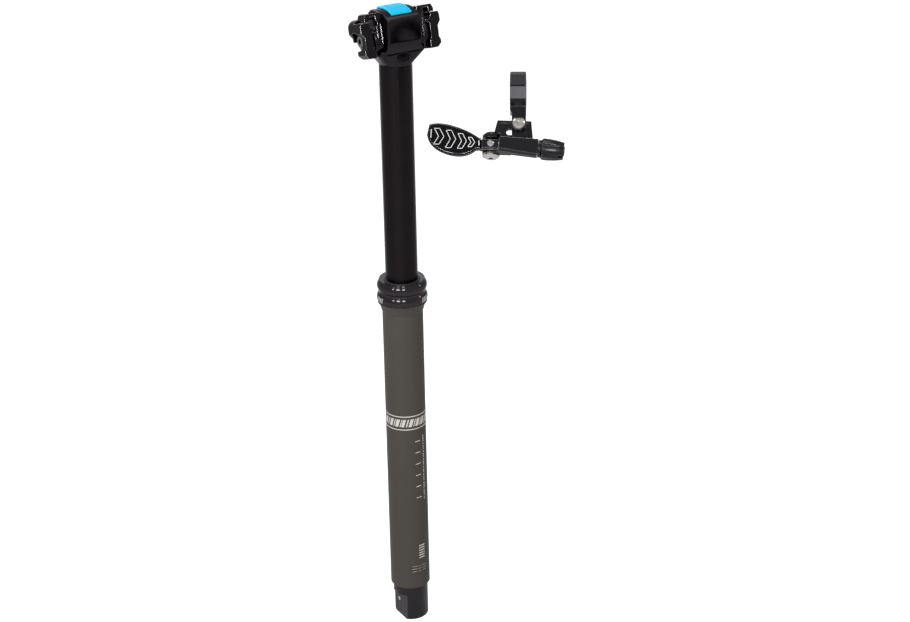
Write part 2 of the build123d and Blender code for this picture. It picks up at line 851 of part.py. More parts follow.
# Inner clamps: each has a drum that turns in a wing's seat, and a hook over the saddle rail
drum_face_x = clamp_face_x + drum_thickness
hook_low = rail_height + groove_radius / 2
hook_end_x = rail_x + inner_hook_reach
hook_centre = clamp_half_length - inner_hook_half_length
hook_rear = hook_centre - clamp_half_length * 2
for side, name in ((-1, "inner_clamp_left"), (1, "inner_clamp_right")):
    with BuildPart() as inner_clamp:
        with BuildSketch(end_plane(side)):
            with BuildLine():
                Polyline(
                    (clamp_face_x, drum_top - inner_thickness),
                    (inner_face_x, drum_top - inner_thickness),
                    (inner_face_x, rail_height),
                    (rail_x, rail_height),
                    (rail_x, hook_low),
                    (hook_end_x, hook_low),
                    (hook_end_x, hook_low + inner_hook_tip),
                    (hook_end_x - inner_hook_corner, inner_top),
                    (clamp_face_x, inner_top),
                    close=True,
                )
            make_face()
        extrude(amount=clamp_half_length * 2)
        with BuildSketch(outward_plane(side, inner_face_x)):
            with Locations((-side * hook_rear, rail_height + inner_top / 2)):
                Rectangle(
                    (clamp_half_length * 2 - inner_hook_half_length) * 2, inner_top + notch_gap
                )
        extrude(amount=hook_end_x, mode=Mode.SUBTRACT)
        with BuildSketch(Plane.XZ):
            with BuildLine():
                Polyline(
                    (side * clamp_face_x, bolt_axis_z),
                    (side * clamp_face_x, bolt_axis_z + clamp_half_length),
                    (side * (drum_face_x - drum_edge), bolt_axis_z + clamp_half_length),
                )
                RadiusArc(
                    (side * (drum_face_x - drum_edge), bolt_axis_z + clamp_half_length),
                    (side * drum_face_x, bolt_axis_z + clamp_half_length - drum_edge),
                    side * drum_edge,
                )
                Polyline(
                    (side * drum_face_x, bolt_axis_z + clamp_half_length - drum_edge),
                    (side * drum_face_x, bolt_axis_z),
                    (side * clamp_face_x, bolt_axis_z),
                )
            make_face()
        revolve(axis=Axis((0, 0, bolt_axis_z), (1, 0, 0)))
        with BuildSketch(outward_plane(side, inner_face_x)):
            with Locations((0, drum_top + clamp_half_length / 2)):
                Rectangle(clamp_half_length * 2, clamp_half_length)
            with Locations((0, rail_height)):
                Rectangle(
                    clamp_half_length * 2, (rail_height - drum_top) * 2, mode=Mode.INTERSECT
                )
        extrude(amount=drum_face_x - inner_face_x + overrun, mode=Mode.SUBTRACT)
        extrude(
            disc(outward_plane(side, clamp_face_x - overrun), bolt_hole_radius),
            amount=drum_thickness + overrun + overrun,
            mode=Mode.SUBTRACT,
        )
        for end in (-1, 1):
            rib_plane = Plane(
                origin=bolt_centre + rail_way * (end * clamp_half_length),
                x_dir=(side, 0, 0),
                z_dir=rail_way * -side,
            )
            with BuildSketch(rib_plane):
                with Locations((clamp_face_x + inner_thickness / 2, 0)):
                    RectangleRounded(rib_width, rib_height, rib_width / 3)
            extrude(amount=rib_depth * side * end, mode=Mode.SUBTRACT)
        with BuildSketch(end_plane(side)):
            with Locations((rail_x, rail_height)):
                Circle(groove_radius)
        extrude(amount=clamp_half_length * 2, mode=Mode.SUBTRACT)
    write(inner_clamp, name)

# Outer clamps: a lever with a foot below and a jaw that lifts and squeezes the rail
flare_top = outer_waist_high + outer_flare_height
foot_low_x = outer_foot_shift - outer_foot_half_length
foot_high_x = outer_foot_shift + outer_foot_half_length
for side, name in ((-1, "outer_clamp_left"), (1, "outer_clamp_right")):
    with BuildPart() as outer_clamp:
        with BuildSketch(end_plane(side)) as outer_profile:
            with BuildLine():
                Polyline(
                    (outer_toe_x, outer_bottom),
                    (outer_foot_x - outer_corner, outer_bottom),
                    (outer_foot_x, outer_bottom + outer_corner),
                    (outer_foot_x, outer_toe),
                    (outer_waist_x, outer_waist_low),
                    (outer_waist_x, outer_waist_high),
                    (outer_face_x, flare_top),
                    (outer_face_x, outer_top - outer_corner * 2),
                )
                RadiusArc(
                    (outer_face_x, outer_top - outer_corner * 2),
                    (outer_face_x - outer_corner * 2, outer_top),
                    -outer_corner * 2,
                )
                Polyline(
                    (outer_face_x - outer_corner * 2, outer_top),
                    (rail_x + notch_gap, outer_top),
                    (rail_x + notch_gap, rail_height),
                    (outer_jaw_tip_x, rail_height - groove_radius / 2),
                    (outer_jaw_tip_x, outer_jaw),
                    (outer_gap_x, outer_jaw - outer_corner / 2),
                    (outer_gap_x, outer_toe + outer_corner),
                    (outer_toe_x, outer_toe),
                    (outer_toe_x, outer_bottom),
                )
            make_face()
            with Locations((rail_x, rail_height)):
                Circle(groove_radius, mode=Mode.SUBTRACT)
        extrude(amount=clamp_half_length * 2)
        with BuildSketch(outward_plane(side, outer_toe_x - overrun)) as outer_plan:
            with BuildLine():
                Polyline(
                    (-side * foot_low_x, outer_bottom),
                    (-side * foot_high_x, outer_bottom),
                    (-side * foot_high_x, outer_waist_low),
                    (-side * clamp_half_length, outer_lobe_bottom),
                    (-side * clamp_half_length, outer_top),
                    (side * outer_short_end, outer_top),
                    (side * outer_short_end, outer_lobe_bottom),
                    (-side * foot_low_x, outer_waist_low),
                    close=True,
                )
            make_face()
            fillet(outer_plan.vertices(), outer_corner / 2)
        extrude(amount=outer_face_x, mode=Mode.INTERSECT)
        with BuildSketch(outward_plane(side, rail_x)):
            with Locations((-side * hook_centre, hook_low - notch_gap + inner_top / 2)):
                Rectangle((inner_hook_half_length + notch_gap) * 2, inner_top)
        extrude(amount=outer_face_x, mode=Mode.SUBTRACT)
        sleeve_hole = bolt_hole_radius
        if side > 0:
            sleeve_hole = nut_sleeve_radius + seat_gap
        extrude(
            disc(outward_plane(side, outer_toe_x - overrun), sleeve_hole),
            amount=outer_face_x,
            mode=Mode.SUBTRACT,
        )
        extrude(
            disc(outward_plane(side, dish_floor_x), dish_radius),
            amount=outer_face_x,
            mode=Mode.SUBTRACT,
        )
    write(outer_clamp, name)

# Dished washers under the bolt's head and the nut
washer_bores = {
    "washer_left": (-1, bolt_radius + seat_gap),
    "washer_right": (1, nut_sleeve_radius + seat_gap),
}
for name, (side, bore) in washer_bores.items():
    with BuildPart() as washer:
        with BuildSketch(Plane.XZ):
            with BuildLine():
                Polyline(
                    (side * (dish_floor_x + seat_gap), bolt_axis_z + bore),
                    (side * (dish_floor_x + seat_gap), bolt_axis_z + dish_radius - seat_gap),
                    (side * washer_face_x, bolt_axis_z + dish_radius - seat_gap),
                    (side * washer_face_x, bolt_axis_z + bolt_head_radius + washer_dish),
                    (side * (washer_face_x - washer_dish), bolt_axis_z + bolt_head_radius),
                    (side * (washer_face_x - washer_dish), bolt_axis_z + bore),
                    close=True,
                )
            make_face()
        revolve(axis=Axis((0, 0, bolt_axis_z), (1, 0, 0)))
    write(washer, name)

# Clamp bolt: runs right through the head, with its socket head on the left
head_seat_x = washer_face_x - washer_dish + seat_gap
with BuildPart() as clamp_bolt:
    bolt_plane = across(-head_seat_x, 0, bolt_axis_z)
    extrude(disc(bolt_plane, bolt_radius), amount=head_seat_x + bolt_end_x)
    head_plane = Plane(origin=(-head_seat_x, 0, bolt_axis_z), x_dir=(0, -1, 0), z_dir=(-1, 0, 0))
    extrude(disc(head_plane, bolt_head_radius), amount=bolt_head_height)
    chamfer(clamp_bolt.edges().sort_by(Axis.X)[0], washer_dish / 2)
    with BuildSketch(head_plane.offset(bolt_head_height - bolt_socket_depth)):
        RegularPolygon(bolt_socket_radius, 6)
    extrude(amount=bolt_socket_depth, mode=Mode.SUBTRACT)
write(clamp_bolt, "clamp_bolt")

# Sleeve nut: a long nut in the right outer clamp
with BuildPart() as clamp_nut:
    nut_plane = across(head_seat_x, 0, bolt_axis_z)
    extrude(disc(nut_plane, bolt_head_radius), amount=bolt_head_height)
    chamfer(clamp_nut.edges().sort_by(Axis.X)[-1], washer_dish / 2)
    extrude(disc(nut_plane, nut_sleeve_radius), amount=-nut_sleeve_length)
    extrude(
        disc(nut_plane.offset(-nut_sleeve_length), bolt_radius + running_gap),
        amount=nut_sleeve_length + bolt_head_height,
        mode=Mode.SUBTRACT,
    )
write(clamp_nut, "clamp_nut")


# Frame of the bar lever, which stands beside the post and leans back
yaw = math.radians(lever_yaw)
lean = math.radians(lever_lean)
bar_x = Vector(math.cos(yaw), math.sin(yaw), 0)
bar_z = Vector(
    -math.sin(yaw) * math.sin(lean), math.cos(yaw) * math.sin(lean), math.cos(lean)
)
bar_y = bar_z.cross(bar_x)
bar_origin = Vector(lever_place_x, lever_place_y, lever_place_z)


def lever_point(x, y, z):
    """Point of the lever's own frame, as a point of the whole part."""
    return bar_origin + bar_x * x + bar_y * y + bar_z * z


def front_plane(y=0.0):
    """Plane that faces the rider, with x to the right and z up."""
    return Plane(origin=lever_point(0, y, 0), x_dir=bar_x, z_dir=bar_y * -1)


def side_plane(x=0.0, y=0.0, z=0.0):
    """Plane that faces along the bar, with y to the right and z up."""
    return Plane(origin=lever_point(x, y, z), x_dir=bar_y, z_dir=bar_x)


def top_plane(x, y, z):
    """Plane that faces up, with x to the right and y up."""
    return Plane(origin=lever_point(x, y, z), x_dir=bar_x, z_dir=bar_z)


# Handlebar band: a split ring with faceted flats and two tabs below
with BuildPart() as bar_band:
    band_left = band_x - band_width / 2
    band_right = band_x + band_width / 2
    front_tab_bottom = band_screw_drop + tab_half_width
    with BuildSketch(side_plane(band_left)) as band_profile:
        Circle(band_radius)
        RegularPolygon(
            band_radius - band_flat_inset, band_flat_count, major_radius=False, mode=Mode.INTERSECT
        )
        with Locations((-(rear_tab_front + rear_tab_back) / 2, -rear_tab_bottom / 2)):
            Rectangle(rear_tab_front - rear_tab_back, rear_tab_bottom)
        with Locations((-(front_tab_front + front_tab_back) / 2, -front_tab_bottom / 2)):
            Rectangle(front_tab_front - front_tab_back, front_tab_bottom)
        Circle(bar_radius, mode=Mode.SUBTRACT)
        with Locations((-(rear_tab_front + front_tab_back) / 2, -band_radius)):
            Rectangle(front_tab_back - rear_tab_front, band_radius * 2, mode=Mode.SUBTRACT)
    extrude(amount=band_width)
    with BuildSketch(front_plane(band_radius)) as band_front:
        with BuildLine():
            Polyline(
                (tab_x - tab_half_width, -band_radius - overrun),
                (band_left, -band_radius),
                (band_left, band_radius),
                (band_right, band_radius),
                (band_right, -band_radius),
                (tab_x + tab_half_width, -band_radius - overrun),
                (tab_x + tab_half_width, -rear_tab_bottom),
                (tab_x - tab_half_width, -rear_tab_bottom),
                close=True,
            )
        make_face()
        tab_corners = [
            vertex
            for vertex in band_front.vertices()
            if (vertex.center() - bar_origin).dot(bar_z) < -rear_tab_bottom + seat_gap
        ]
        fillet(tab_corners, rear_tab_corner)
        with Locations((tab_x, -band_screw_drop)):
            Circle(band_screw_radius, mode=Mode.SUBTRACT)
    extrude(amount=band_radius * 2 + overrun, mode=Mode.INTERSECT)
    with BuildSketch(front_plane(-front_tab_back + running_gap)) as front_tab_ends:
        with Locations((tab_x, -front_tab_bottom)):
            Rectangle(tab_half_width * 2 + overrun, tab_half_width * 2)
        with Locations((tab_x, -band_screw_drop)):
            Circle(tab_half_width, mode=Mode.SUBTRACT)
    extrude(amount=band_radius, mode=Mode.SUBTRACT)
    slot_hole = Plane(
        origin=lever_point(band_x, -rear_tab_front + rear_tab_skin - seat_gap, -slot_drop),
        x_dir=bar_x,
        z_dir=bar_y,
    )
    extrude(
        disc(slot_hole, bracket_screw_radius + seat_gap),
        amount=rear_tab_front,
        mode=Mode.SUBTRACT,
    )
write(bar_band, "bar_band")


def domed_screw(base, radius, height, shank, length, socket):
    """Screw seen from its head: a domed head on a plane, a shank behind it and a hex socket."""
    with BuildPart(mode=Mode.PRIVATE) as screw:
        with BuildSketch(base):
            Circle(radius)
        extrude(amount=height)
        rim = screw.edges().filter_by(GeomType.CIRCLE).sort_by(Axis(base.origin, base.z_dir))[-1]
        chamfer(rim, height / 2, radius / 3)
        with BuildSketch(base):
            Circle(shank)
        extrude(amount=-length)
        with BuildSketch(base.offset(height / 3)):
            RegularPolygon(socket, 6)
        extrude(amount=height, mode=Mode.SUBTRACT)
    return screw.part


# Screw that closes the band around the bar
with BuildPart() as band_screw:
    add(
        domed_screw(
            Plane(
                origin=lever_point(tab_x, -front_tab_front - seat_gap, -band_screw_drop),
                x_dir=bar_x,
                z_dir=bar_y * -1,
            ),
            band_dome_radius,
            band_dome_height,
            band_screw_radius - seat_gap,
            front_tab_front - rear_tab_back,
            band_socket_radius,
        )
    )
write(band_screw, "band_screw")

# Screw that holds the bracket to the band's rear tab, through the bracket's slot
with BuildPart() as bracket_screw:
    add(
        domed_screw(
            Plane(
                origin=lever_point(band_x, plate_back + running_gap, -slot_drop),
                x_dir=bar_x,
                z_dir=bar_y,
            ),
            bracket_head_radius,
            bracket_head_height,
            bracket_screw_radius,
            plate_back + rear_tab_front - rear_tab_skin,
            band_socket_radius,
        )
    )
write(bracket_screw, "bracket_screw")

# From here on the lever's frame is the bracket's
swivel = math.radians(bracket_swivel)
bracket_centre = lever_point(band_x, 0, -slot_drop)
swivelled_x = bar_x * math.cos(swivel) - bar_z * math.sin(swivel)
swivelled_z = bar_z * math.cos(swivel) + bar_x * math.sin(swivel)
bar_x = swivelled_x
bar_z = swivelled_z
bar_origin = bracket_centre - bar_x * (band_x + bracket_shift) + bar_z * slot_drop

# Line of the cable through the bracket and the adjuster
slope = math.radians(cable_slope)
cable_x = bar_x * math.cos(slope) - bar_z * math.sin(slope)
cable_up = bar_z * math.cos(slope) + bar_x * math.sin(slope)
cable_start = lever_point(pinch_x, cable_y, -cable_drop)


def cable_point(along, y=0.0, z=0.0):
    """Point of the sloping cable line, measured from the pinch screw."""
    return cable_start + cable_x * along + bar_y * y + cable_up * z


def cable_plane(along, y=0.0, z=0.0):
    """Plane square to the cable line, facing the adjuster's open end."""
    return Plane(origin=cable_point(along, y, z), x_dir=bar_y, z_dir=cable_x)


# Bracket: slotted plate, the arm that holds the cable, and two ears for the pivot
arm_length = arm_left + arm_right
arm_start = -pinch_x - arm_left
with BuildPart() as lever_bracket:
    with BuildSketch(front_plane(plate_back)) as plate_outline:
        with BuildLine():
            Polyline(
                (-plate_low_left, -plate_bottom),
                (-plate_top_left, -plate_top),
                (plate_top_right, -plate_top),
                (plate_low_right, -plate_bottom),
                (plate_low_right, -lower_ear_top),
                (-arm_left, -lower_ear_top),
                (-arm_left, -plate_bottom),
                close=True,
            )
        make_face()
        top_corners = [
            vertex
            for vertex in plate_outline.vertices()
            if (vertex.center() - bar_origin).dot(bar_z) > -plate_top - overrun
        ]
        fillet(top_corners, plate_corner)
    extrude(amount=plate_front + plate_back)
    with BuildSketch(front_plane(-plate_front)):
        with BuildLine():
            Polyline(
                (-plate_low_left + recess_rim * 2, -plate_bottom + recess_rim),
                (-plate_top_left + recess_rim, -plate_top - recess_rim),
                (plate_top_right - recess_rim, -plate_top - recess_rim),
                (plate_low_right - recess_rim * 2, -plate_bottom + recess_rim),
                close=True,
            )
        make_face()
    extrude(amount=-recess_depth, mode=Mode.SUBTRACT)
    with BuildSketch(front_plane(plate_back + overrun)):
        with Locations((slot_centre_x, -slot_drop)):
            SlotCenterToCenter(slot_run * 2, slot_half_height * 2)
    extrude(amount=plate_front + plate_back + overrun * 2, mode=Mode.SUBTRACT)
    arm_plane = Plane(
        origin=cable_point(arm_start, plate_back - cable_y), x_dir=cable_x, z_dir=bar_y * -1
    )
    with BuildSketch(arm_plane):
        with BuildLine():
            Polyline(
                (0, arm_top_left),
                (arm_length, arm_top_right),
                (arm_length, -arm_low_right),
                (0, -arm_low_left),
                close=True,
            )
        make_face()
    extrude(amount=arm_front + plate_back)
    with BuildSketch(cable_plane(arm_start - overrun)):
        with BuildLine():
            Polyline(
                (plate_back - cable_y + overrun, -arm_low_left + arm_back_cut),
                (plate_back - cable_y + overrun, -arm_low_right - arm_low_right),
                (0, -arm_low_right - arm_low_right),
                (0, -arm_low_right),
                close=True,
            )
        make_face()
    extrude(amount=arm_length + overrun * 2, mode=Mode.SUBTRACT)
    upper_ear_plane = top_plane(pivot_x, pivot_y, -upper_ear_bottom)
    ear_height = upper_ear_bottom - upper_ear_top
    with BuildSketch(upper_ear_plane):
        Circle(upper_ear_radius)
    with BuildSketch(upper_ear_plane.offset(ear_height - upper_ear_edge)):
        Circle(upper_ear_radius)
    with BuildSketch(upper_ear_plane.offset(ear_height)):
        Circle(upper_ear_radius - upper_ear_edge)
    loft(ruled=True)
    with BuildSketch(upper_ear_plane):
        with Locations((upper_ear_radius / 2, -pivot_y)):
            Rectangle(upper_ear_radius, plate_front + plate_back)
    extrude(amount=ear_height)
    lower_ear_plane = top_plane(pivot_x, pivot_y, -lower_ear_bottom)
    with BuildSketch(lower_ear_plane):
        Circle(lower_ear_radius)
        with Locations(((lower_ear_radius * 2 - pivot_x) / 4, -lower_ear_radius / 2)):
            Rectangle((lower_ear_radius * 2 - pivot_x) / 2, lower_ear_radius)
    extrude(amount=lower_ear_bottom - lower_ear_top)
    pivot_hole_plane = top_plane(pivot_x, pivot_y, -lower_ear_bottom - overrun)
    extrude(
        disc(pivot_hole_plane, pivot_bolt_radius + seat_gap),
        amount=lower_ear_bottom - upper_ear_top + overrun * 2,
        mode=Mode.SUBTRACT,
    )
    extrude(
        disc(cable_plane(arm_start - overrun), inner_cable_radius + turning_gap),
        amount=arm_length + overrun * 2,
        mode=Mode.SUBTRACT,
    )
    extrude(
        disc(cable_plane(arm_start + arm_length - sleeve_inside), sleeve_radius + running_gap),
        amount=sleeve_inside + overrun,
        mode=Mode.SUBTRACT,
    )
    lower_front = [
        edge
        for edge in lever_bracket.edges()
        if abs((edge.center() - lever_point(0, -arm_front, 0)).dot(bar_y)) < seat_gap
        and (edge.center() - cable_start).dot(cable_up) < -arm_low_left / 2
        and edge.length > arm_length / 2
    ]
    chamfer(lower_front, arm_chamfer)
write(lever_bracket, "lever_bracket")

# Pivot bolt, put in from below
with BuildPart() as pivot_bolt:
    add(
        domed_screw(
            Plane(
                origin=lever_point(pivot_x, pivot_y, -lower_ear_bottom - seat_gap),
                x_dir=bar_x,
                z_dir=bar_z * -1,
            ),
            pivot_dome_radius,
            pivot_dome_height,
            pivot_bolt_radius,
            lower_ear_bottom - upper_ear_top,
            pivot_socket_radius,
        )
    )
write(pivot_bolt, "pivot_bolt")

# Blade under the thumb, with a bevelled rim on its front
with BuildPart() as lever_blade:
    with BuildSketch(front_plane(-blade_front + blade_thickness)):
        with BuildLine():
            blade_top = Spline(
                (blade_corner_x, -blade_corner_drop),
                (blade_top_x, -blade_top_drop),
                (blade_shoulder_x, -blade_shoulder_drop),
                (blade_mid_x, -blade_mid_top_drop),
                (-arm_block_left, -blade_neck_top_drop),
            )
            blade_low = Spline(
                (blade_neck_x, -blade_neck_low_drop),
                (blade_low_x, -blade_low_drop),
                (blade_belly_x, -blade_belly_drop),
                (blade_heel_x, -blade_heel_drop),
                (blade_tip_x, -blade_tip_drop),
            )
            Line(blade_low @ 1, blade_top @ 0)
            Polyline(
                blade_top @ 1,
                (-arm_block_left + blade_overlap, -blade_neck_top_drop),
                (-arm_block_left + blade_overlap, -arm_block_bottom),
                (-arm_block_left, -arm_block_bottom),
                blade_low @ 0,
            )
        make_face()
    extrude(amount=blade_thickness)
    blade_face = lever_blade.faces().sort_by(Axis(bar_origin, bar_y * -1))[-1]
    chamfer(blade_face.edges(), blade_rim)

# Thumb lever: hub on the pivot, arm in front of it, and the blade under the thumb
hub_bottom = lower_ear_top - hub_end_gap
hub_top = upper_ear_bottom + hub_end_gap
bush_outer = pivot_bolt_radius + running_gap + bush_wall
with BuildPart() as thumb_lever:
    with BuildSketch(top_plane(pivot_x, pivot_y, -hub_bottom)):
        Circle(hub_radius)
    extrude(amount=hub_bottom - hub_top - hub_neck_height)
    with BuildSketch(top_plane(pivot_x, pivot_y, -hub_top - hub_neck_height)):
        Circle(hub_neck_radius)
    extrude(amount=hub_neck_height)
    with BuildSketch(front_plane(pivot_y)):
        with Locations((-(arm_block_left + arm_block_right) / 2, -(arm_block_top + hub_bottom) / 2)):
            Rectangle(arm_block_left - arm_block_right, hub_bottom - arm_block_top)
    extrude(amount=arm_block_front + pivot_y)
    with BuildSketch(front_plane(-arm_block_back)):
        with Locations(
            (-(arm_block_left + arm_block_right) / 2, -(arm_block_top + arm_block_bottom) / 2)
        ):
            Rectangle(arm_block_left - arm_block_right, arm_block_bottom - arm_block_top)
    extrude(amount=arm_block_front - arm_block_back)
    add(lever_blade.part)
    extrude(
        disc(top_plane(pivot_x, pivot_y, -hub_bottom - overrun), bush_outer + seat_gap),
        amount=hub_bottom - hub_top + overrun * 2,
        mode=Mode.SUBTRACT,
    )
    pinch_plane = Plane(
        origin=lever_point(pinch_x, -arm_block_front - plate_clamp_thickness, -pinch_drop),
        x_dir=bar_x,
        z_dir=bar_y * -1,
    )
    extrude(
        disc(pinch_plane, pinch_radius + seat_gap),
        amount=-pinch_length - seat_gap,
        mode=Mode.SUBTRACT,
    )
write(thumb_lever, "thumb_lever")

# Bushes in the lever's hub
with BuildPart() as pivot_bushes:
    bush_bore = pivot_bolt_radius + running_gap
    low_bush = top_plane(pivot_x, pivot_y, -hub_bottom)
    high_bush = top_plane(pivot_x, pivot_y, -hub_top)
    extrude(annulus(low_bush, bush_outer, bush_bore), amount=bush_length)
    extrude(annulus(high_bush, bush_outer, bush_bore), amount=-bush_length)
write(pivot_bushes, "pivot_bushes")

# Return spring: a wire coil around the hub's neck
coil_pitch = (hub_neck_height - spring_wire_radius * 3) / spring_turns
coil_start = lever_point(pivot_x, pivot_y, -hub_top - hub_neck_height + spring_wire_radius * 3 / 2)
coil_frame = Plane(origin=coil_start, x_dir=bar_x, z_dir=bar_z)
coil_line = coil_frame * Helix(coil_pitch, coil_pitch * spring_turns, spring_coil_radius)
with BuildPart() as return_spring:
    with BuildSketch(Plane(origin=coil_line @ 0, z_dir=coil_line % 0)):
        Circle(spring_wire_radius)
    sweep(path=coil_line, is_frenet=True)
write(return_spring, "return_spring")

# Cable clamp plate and its pinch screw, on the front of the lever's arm
with BuildPart() as cable_clamp_plate:
    with BuildSketch(front_plane(-arm_block_front - seat_gap)):
        with Locations(
            (
                -(plate_clamp_left + arm_block_right) / 2,
                -(plate_clamp_top + plate_clamp_bottom) / 2,
            )
        ):
            Rectangle(plate_clamp_left - arm_block_right, plate_clamp_bottom - plate_clamp_top)
    extrude(amount=plate_clamp_thickness - seat_gap)
    front_face = cable_clamp_plate.faces().sort_by(Axis(bar_origin, bar_y * -1))[-1]
    chamfer(front_face.edges(), plate_clamp_edge)
    extrude(
        disc(pinch_plane, pinch_radius + seat_gap),
        amount=-plate_clamp_thickness - overrun,
        mode=Mode.SUBTRACT,
    )
write(cable_clamp_plate, "cable_clamp_plate")

with BuildPart() as pinch_screw:
    add(
        domed_screw(
            pinch_plane.offset(seat_gap),
            pinch_head_radius,
            pinch_head_height,
            pinch_radius,
            pinch_length,
            pinch_radius * 3 / 4,
        )
    )
write(pinch_screw, "pinch_screw")

# Adjuster knob: lobed, with fingers at its open end, turning on the sleeve
knob_start = arm_start + arm_length + turning_gap
with BuildPart() as adjuster_knob:
    knob_axis = Axis(cable_point(0), cable_x)
    knob_section = Plane(origin=cable_point(knob_start), x_dir=cable_x, z_dir=bar_y * -1)
    knob_bore = sleeve_radius + turning_gap
    with BuildSketch(knob_section):
        with BuildLine():
            Polyline(
                (0, sleeve_radius + running_gap),
                (0, knob_neck_radius),
                (knob_neck_length, knob_neck_radius),
                (knob_neck_length + knob_wall, knob_radius),
                (knob_length * knob_shoulder_share, knob_radius),
            )
            RadiusArc(
                (knob_length * knob_shoulder_share, knob_radius),
                (knob_length, knob_end_radius),
                knob_length * 3,
            )
            Polyline(
                (knob_length, knob_end_radius),
                (knob_length, knob_bore),
                (knob_neck_length + knob_wall, knob_bore),
                (knob_neck_length + knob_wall, sleeve_radius + running_gap),
                (0, sleeve_radius + running_gap),
            )
        make_face()
    revolve(axis=knob_axis)
    with BuildSketch(cable_plane(knob_start + knob_neck_length + knob_wall)):
        with PolarLocations(knob_radius + knob_flute_radius - knob_flute_bite, knob_lobes):
            Circle(knob_flute_radius)
    extrude(amount=knob_length, mode=Mode.SUBTRACT)
    with BuildSketch(cable_plane(knob_start + knob_length - knob_slot_depth)):
        with PolarLocations(knob_radius, knob_lobes):
            Rectangle(knob_radius, knob_slot_width)
    extrude(amount=knob_length, mode=Mode.SUBTRACT)
write(adjuster_knob, "adjuster_knob")

# Adjuster sleeve: a hollow stem that runs in the bracket, and a cup for the housing on its end
sleeve_start = arm_start + arm_length - sleeve_inside + turning_gap
sleeve_end = knob_start + knob_length + sleeve_out
cup_start = sleeve_end - sleeve_housing_depth
with BuildPart() as adjuster_stem:
    extrude(
        annulus(cable_plane(sleeve_start), sleeve_radius, inner_cable_radius + turning_gap),
        amount=cup_start - seat_gap - sleeve_start,
    )
write(adjuster_stem, "adjuster_stem")

with BuildPart() as adjuster_sleeve:
    extrude(
        annulus(cable_plane(cup_start), sleeve_radius, housing_bore_radius),
        amount=sleeve_housing_depth,
    )
write(adjuster_sleeve, "adjuster_sleeve")
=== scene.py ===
import json
import math

import bpy
import numpy as np
from mathutils import Matrix, Vector


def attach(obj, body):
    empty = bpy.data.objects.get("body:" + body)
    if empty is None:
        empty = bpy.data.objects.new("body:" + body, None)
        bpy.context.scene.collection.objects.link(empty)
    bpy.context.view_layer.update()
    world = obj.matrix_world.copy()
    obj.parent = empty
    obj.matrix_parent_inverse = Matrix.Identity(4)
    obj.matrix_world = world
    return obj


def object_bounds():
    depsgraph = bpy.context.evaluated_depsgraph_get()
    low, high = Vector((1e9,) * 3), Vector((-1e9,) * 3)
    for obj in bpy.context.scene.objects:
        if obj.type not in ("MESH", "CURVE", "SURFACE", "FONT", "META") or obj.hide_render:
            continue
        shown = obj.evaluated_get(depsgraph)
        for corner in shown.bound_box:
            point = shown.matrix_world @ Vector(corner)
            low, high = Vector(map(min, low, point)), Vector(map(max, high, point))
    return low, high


# The looks of a dropper seatpost and its bar lever: the finish of every piece, the printed
# marks on the tube and the lever, a plain studio and the camera. Lengths are in metres.

MM = 0.001
MICRON = 0.000001

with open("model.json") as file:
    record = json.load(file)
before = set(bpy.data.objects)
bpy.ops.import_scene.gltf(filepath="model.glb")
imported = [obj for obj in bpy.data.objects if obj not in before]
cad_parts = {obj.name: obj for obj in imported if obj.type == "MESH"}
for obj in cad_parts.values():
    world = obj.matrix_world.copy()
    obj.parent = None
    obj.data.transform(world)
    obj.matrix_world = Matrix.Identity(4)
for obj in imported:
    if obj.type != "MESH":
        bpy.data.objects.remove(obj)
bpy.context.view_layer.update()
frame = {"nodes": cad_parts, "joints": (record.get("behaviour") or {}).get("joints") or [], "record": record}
record = frame["record"]
joints = {joint["name"]: joint for joint in frame["joints"]}

# Outer tube, as built in the CAD
TUBE_RADIUS = 15.8 * MM
COLLAR_TOP = 26.5 * MM
COLLAR_RIM_RADIUS = 17.3 * MM
# The satin ring reaches this far down from the collar's top
COLLAR_RING_DEPTH = 1.2 * MM
# Foot, widest place and top of the collar's lower band, as (radius, height)
LOWER_BAND = ((18.8 * MM, 8.5 * MM), (19.7 * MM, 11.7 * MM), (18.1 * MM, 16.1 * MM))

# The lever's own frame, from its joints: x along the bar, y away from the rider, z up
bar_x = np.array(joints["remote_shift"]["axis"])
bar_z = -np.array(joints["lever_pivot"]["axis"])
bar_y = np.cross(bar_z, bar_x)
PIVOT_IN_LEVER = np.array([-16.0, 1.0, -40.0]) * MM
lever_origin = (
    np.array(joints["lever_pivot"]["pos_m"])
    - bar_x * PIVOT_IN_LEVER[0]
    - bar_y * PIVOT_IN_LEVER[1]
    - bar_z * PIVOT_IN_LEVER[2]
)
BLADE_FACE_Y = -9.2 * MM

# Patches in which a finish wavers between its two tones
TONE_PATCH = 28 * MM
# Most of a noise lies between these two values
NOISE_LOW = 0.3
NOISE_HIGH = 0.7
EDGE_SAMPLES = 6
# Cosine of the turn between the plain and the rounded surface where the painted edge highlight begins,
# at fourteen degrees, and where it is full, at thirty-one degrees
EDGE_HIGHLIGHT_BEGINS = 0.97
EDGE_HIGHLIGHT_FULL = 0.86


def linear(hex_colour):
    """Linear colour of an sRGB hex value. A channel c becomes ((c + 0.055) / 1.055) ^ 2.4, or
    c / 12.92 where it is at most 0.04045."""
    channels = np.array([int(hex_colour[i : i + 2], 16) for i in (1, 3, 5)]) / 255
    low = channels / 12.92
    high = ((channels + 0.055) / 1.055) ** 2.4
    return (*np.where(channels <= 0.04045, low, high), 1.0)


def add_node(tree, kind, settings=None, links=None):
    """Adds one node, sets its fields and input values, and links its inputs to outputs."""
    made = tree.nodes.new(kind)
    for name, value in (settings or {}).items():
        if isinstance(name, int) or name in made.inputs:
            made.inputs[name].default_value = value
        else:
            setattr(made, name, value)
    for name, source in (links or {}).items():
        tree.links.new(source, made.inputs[name])
    return made


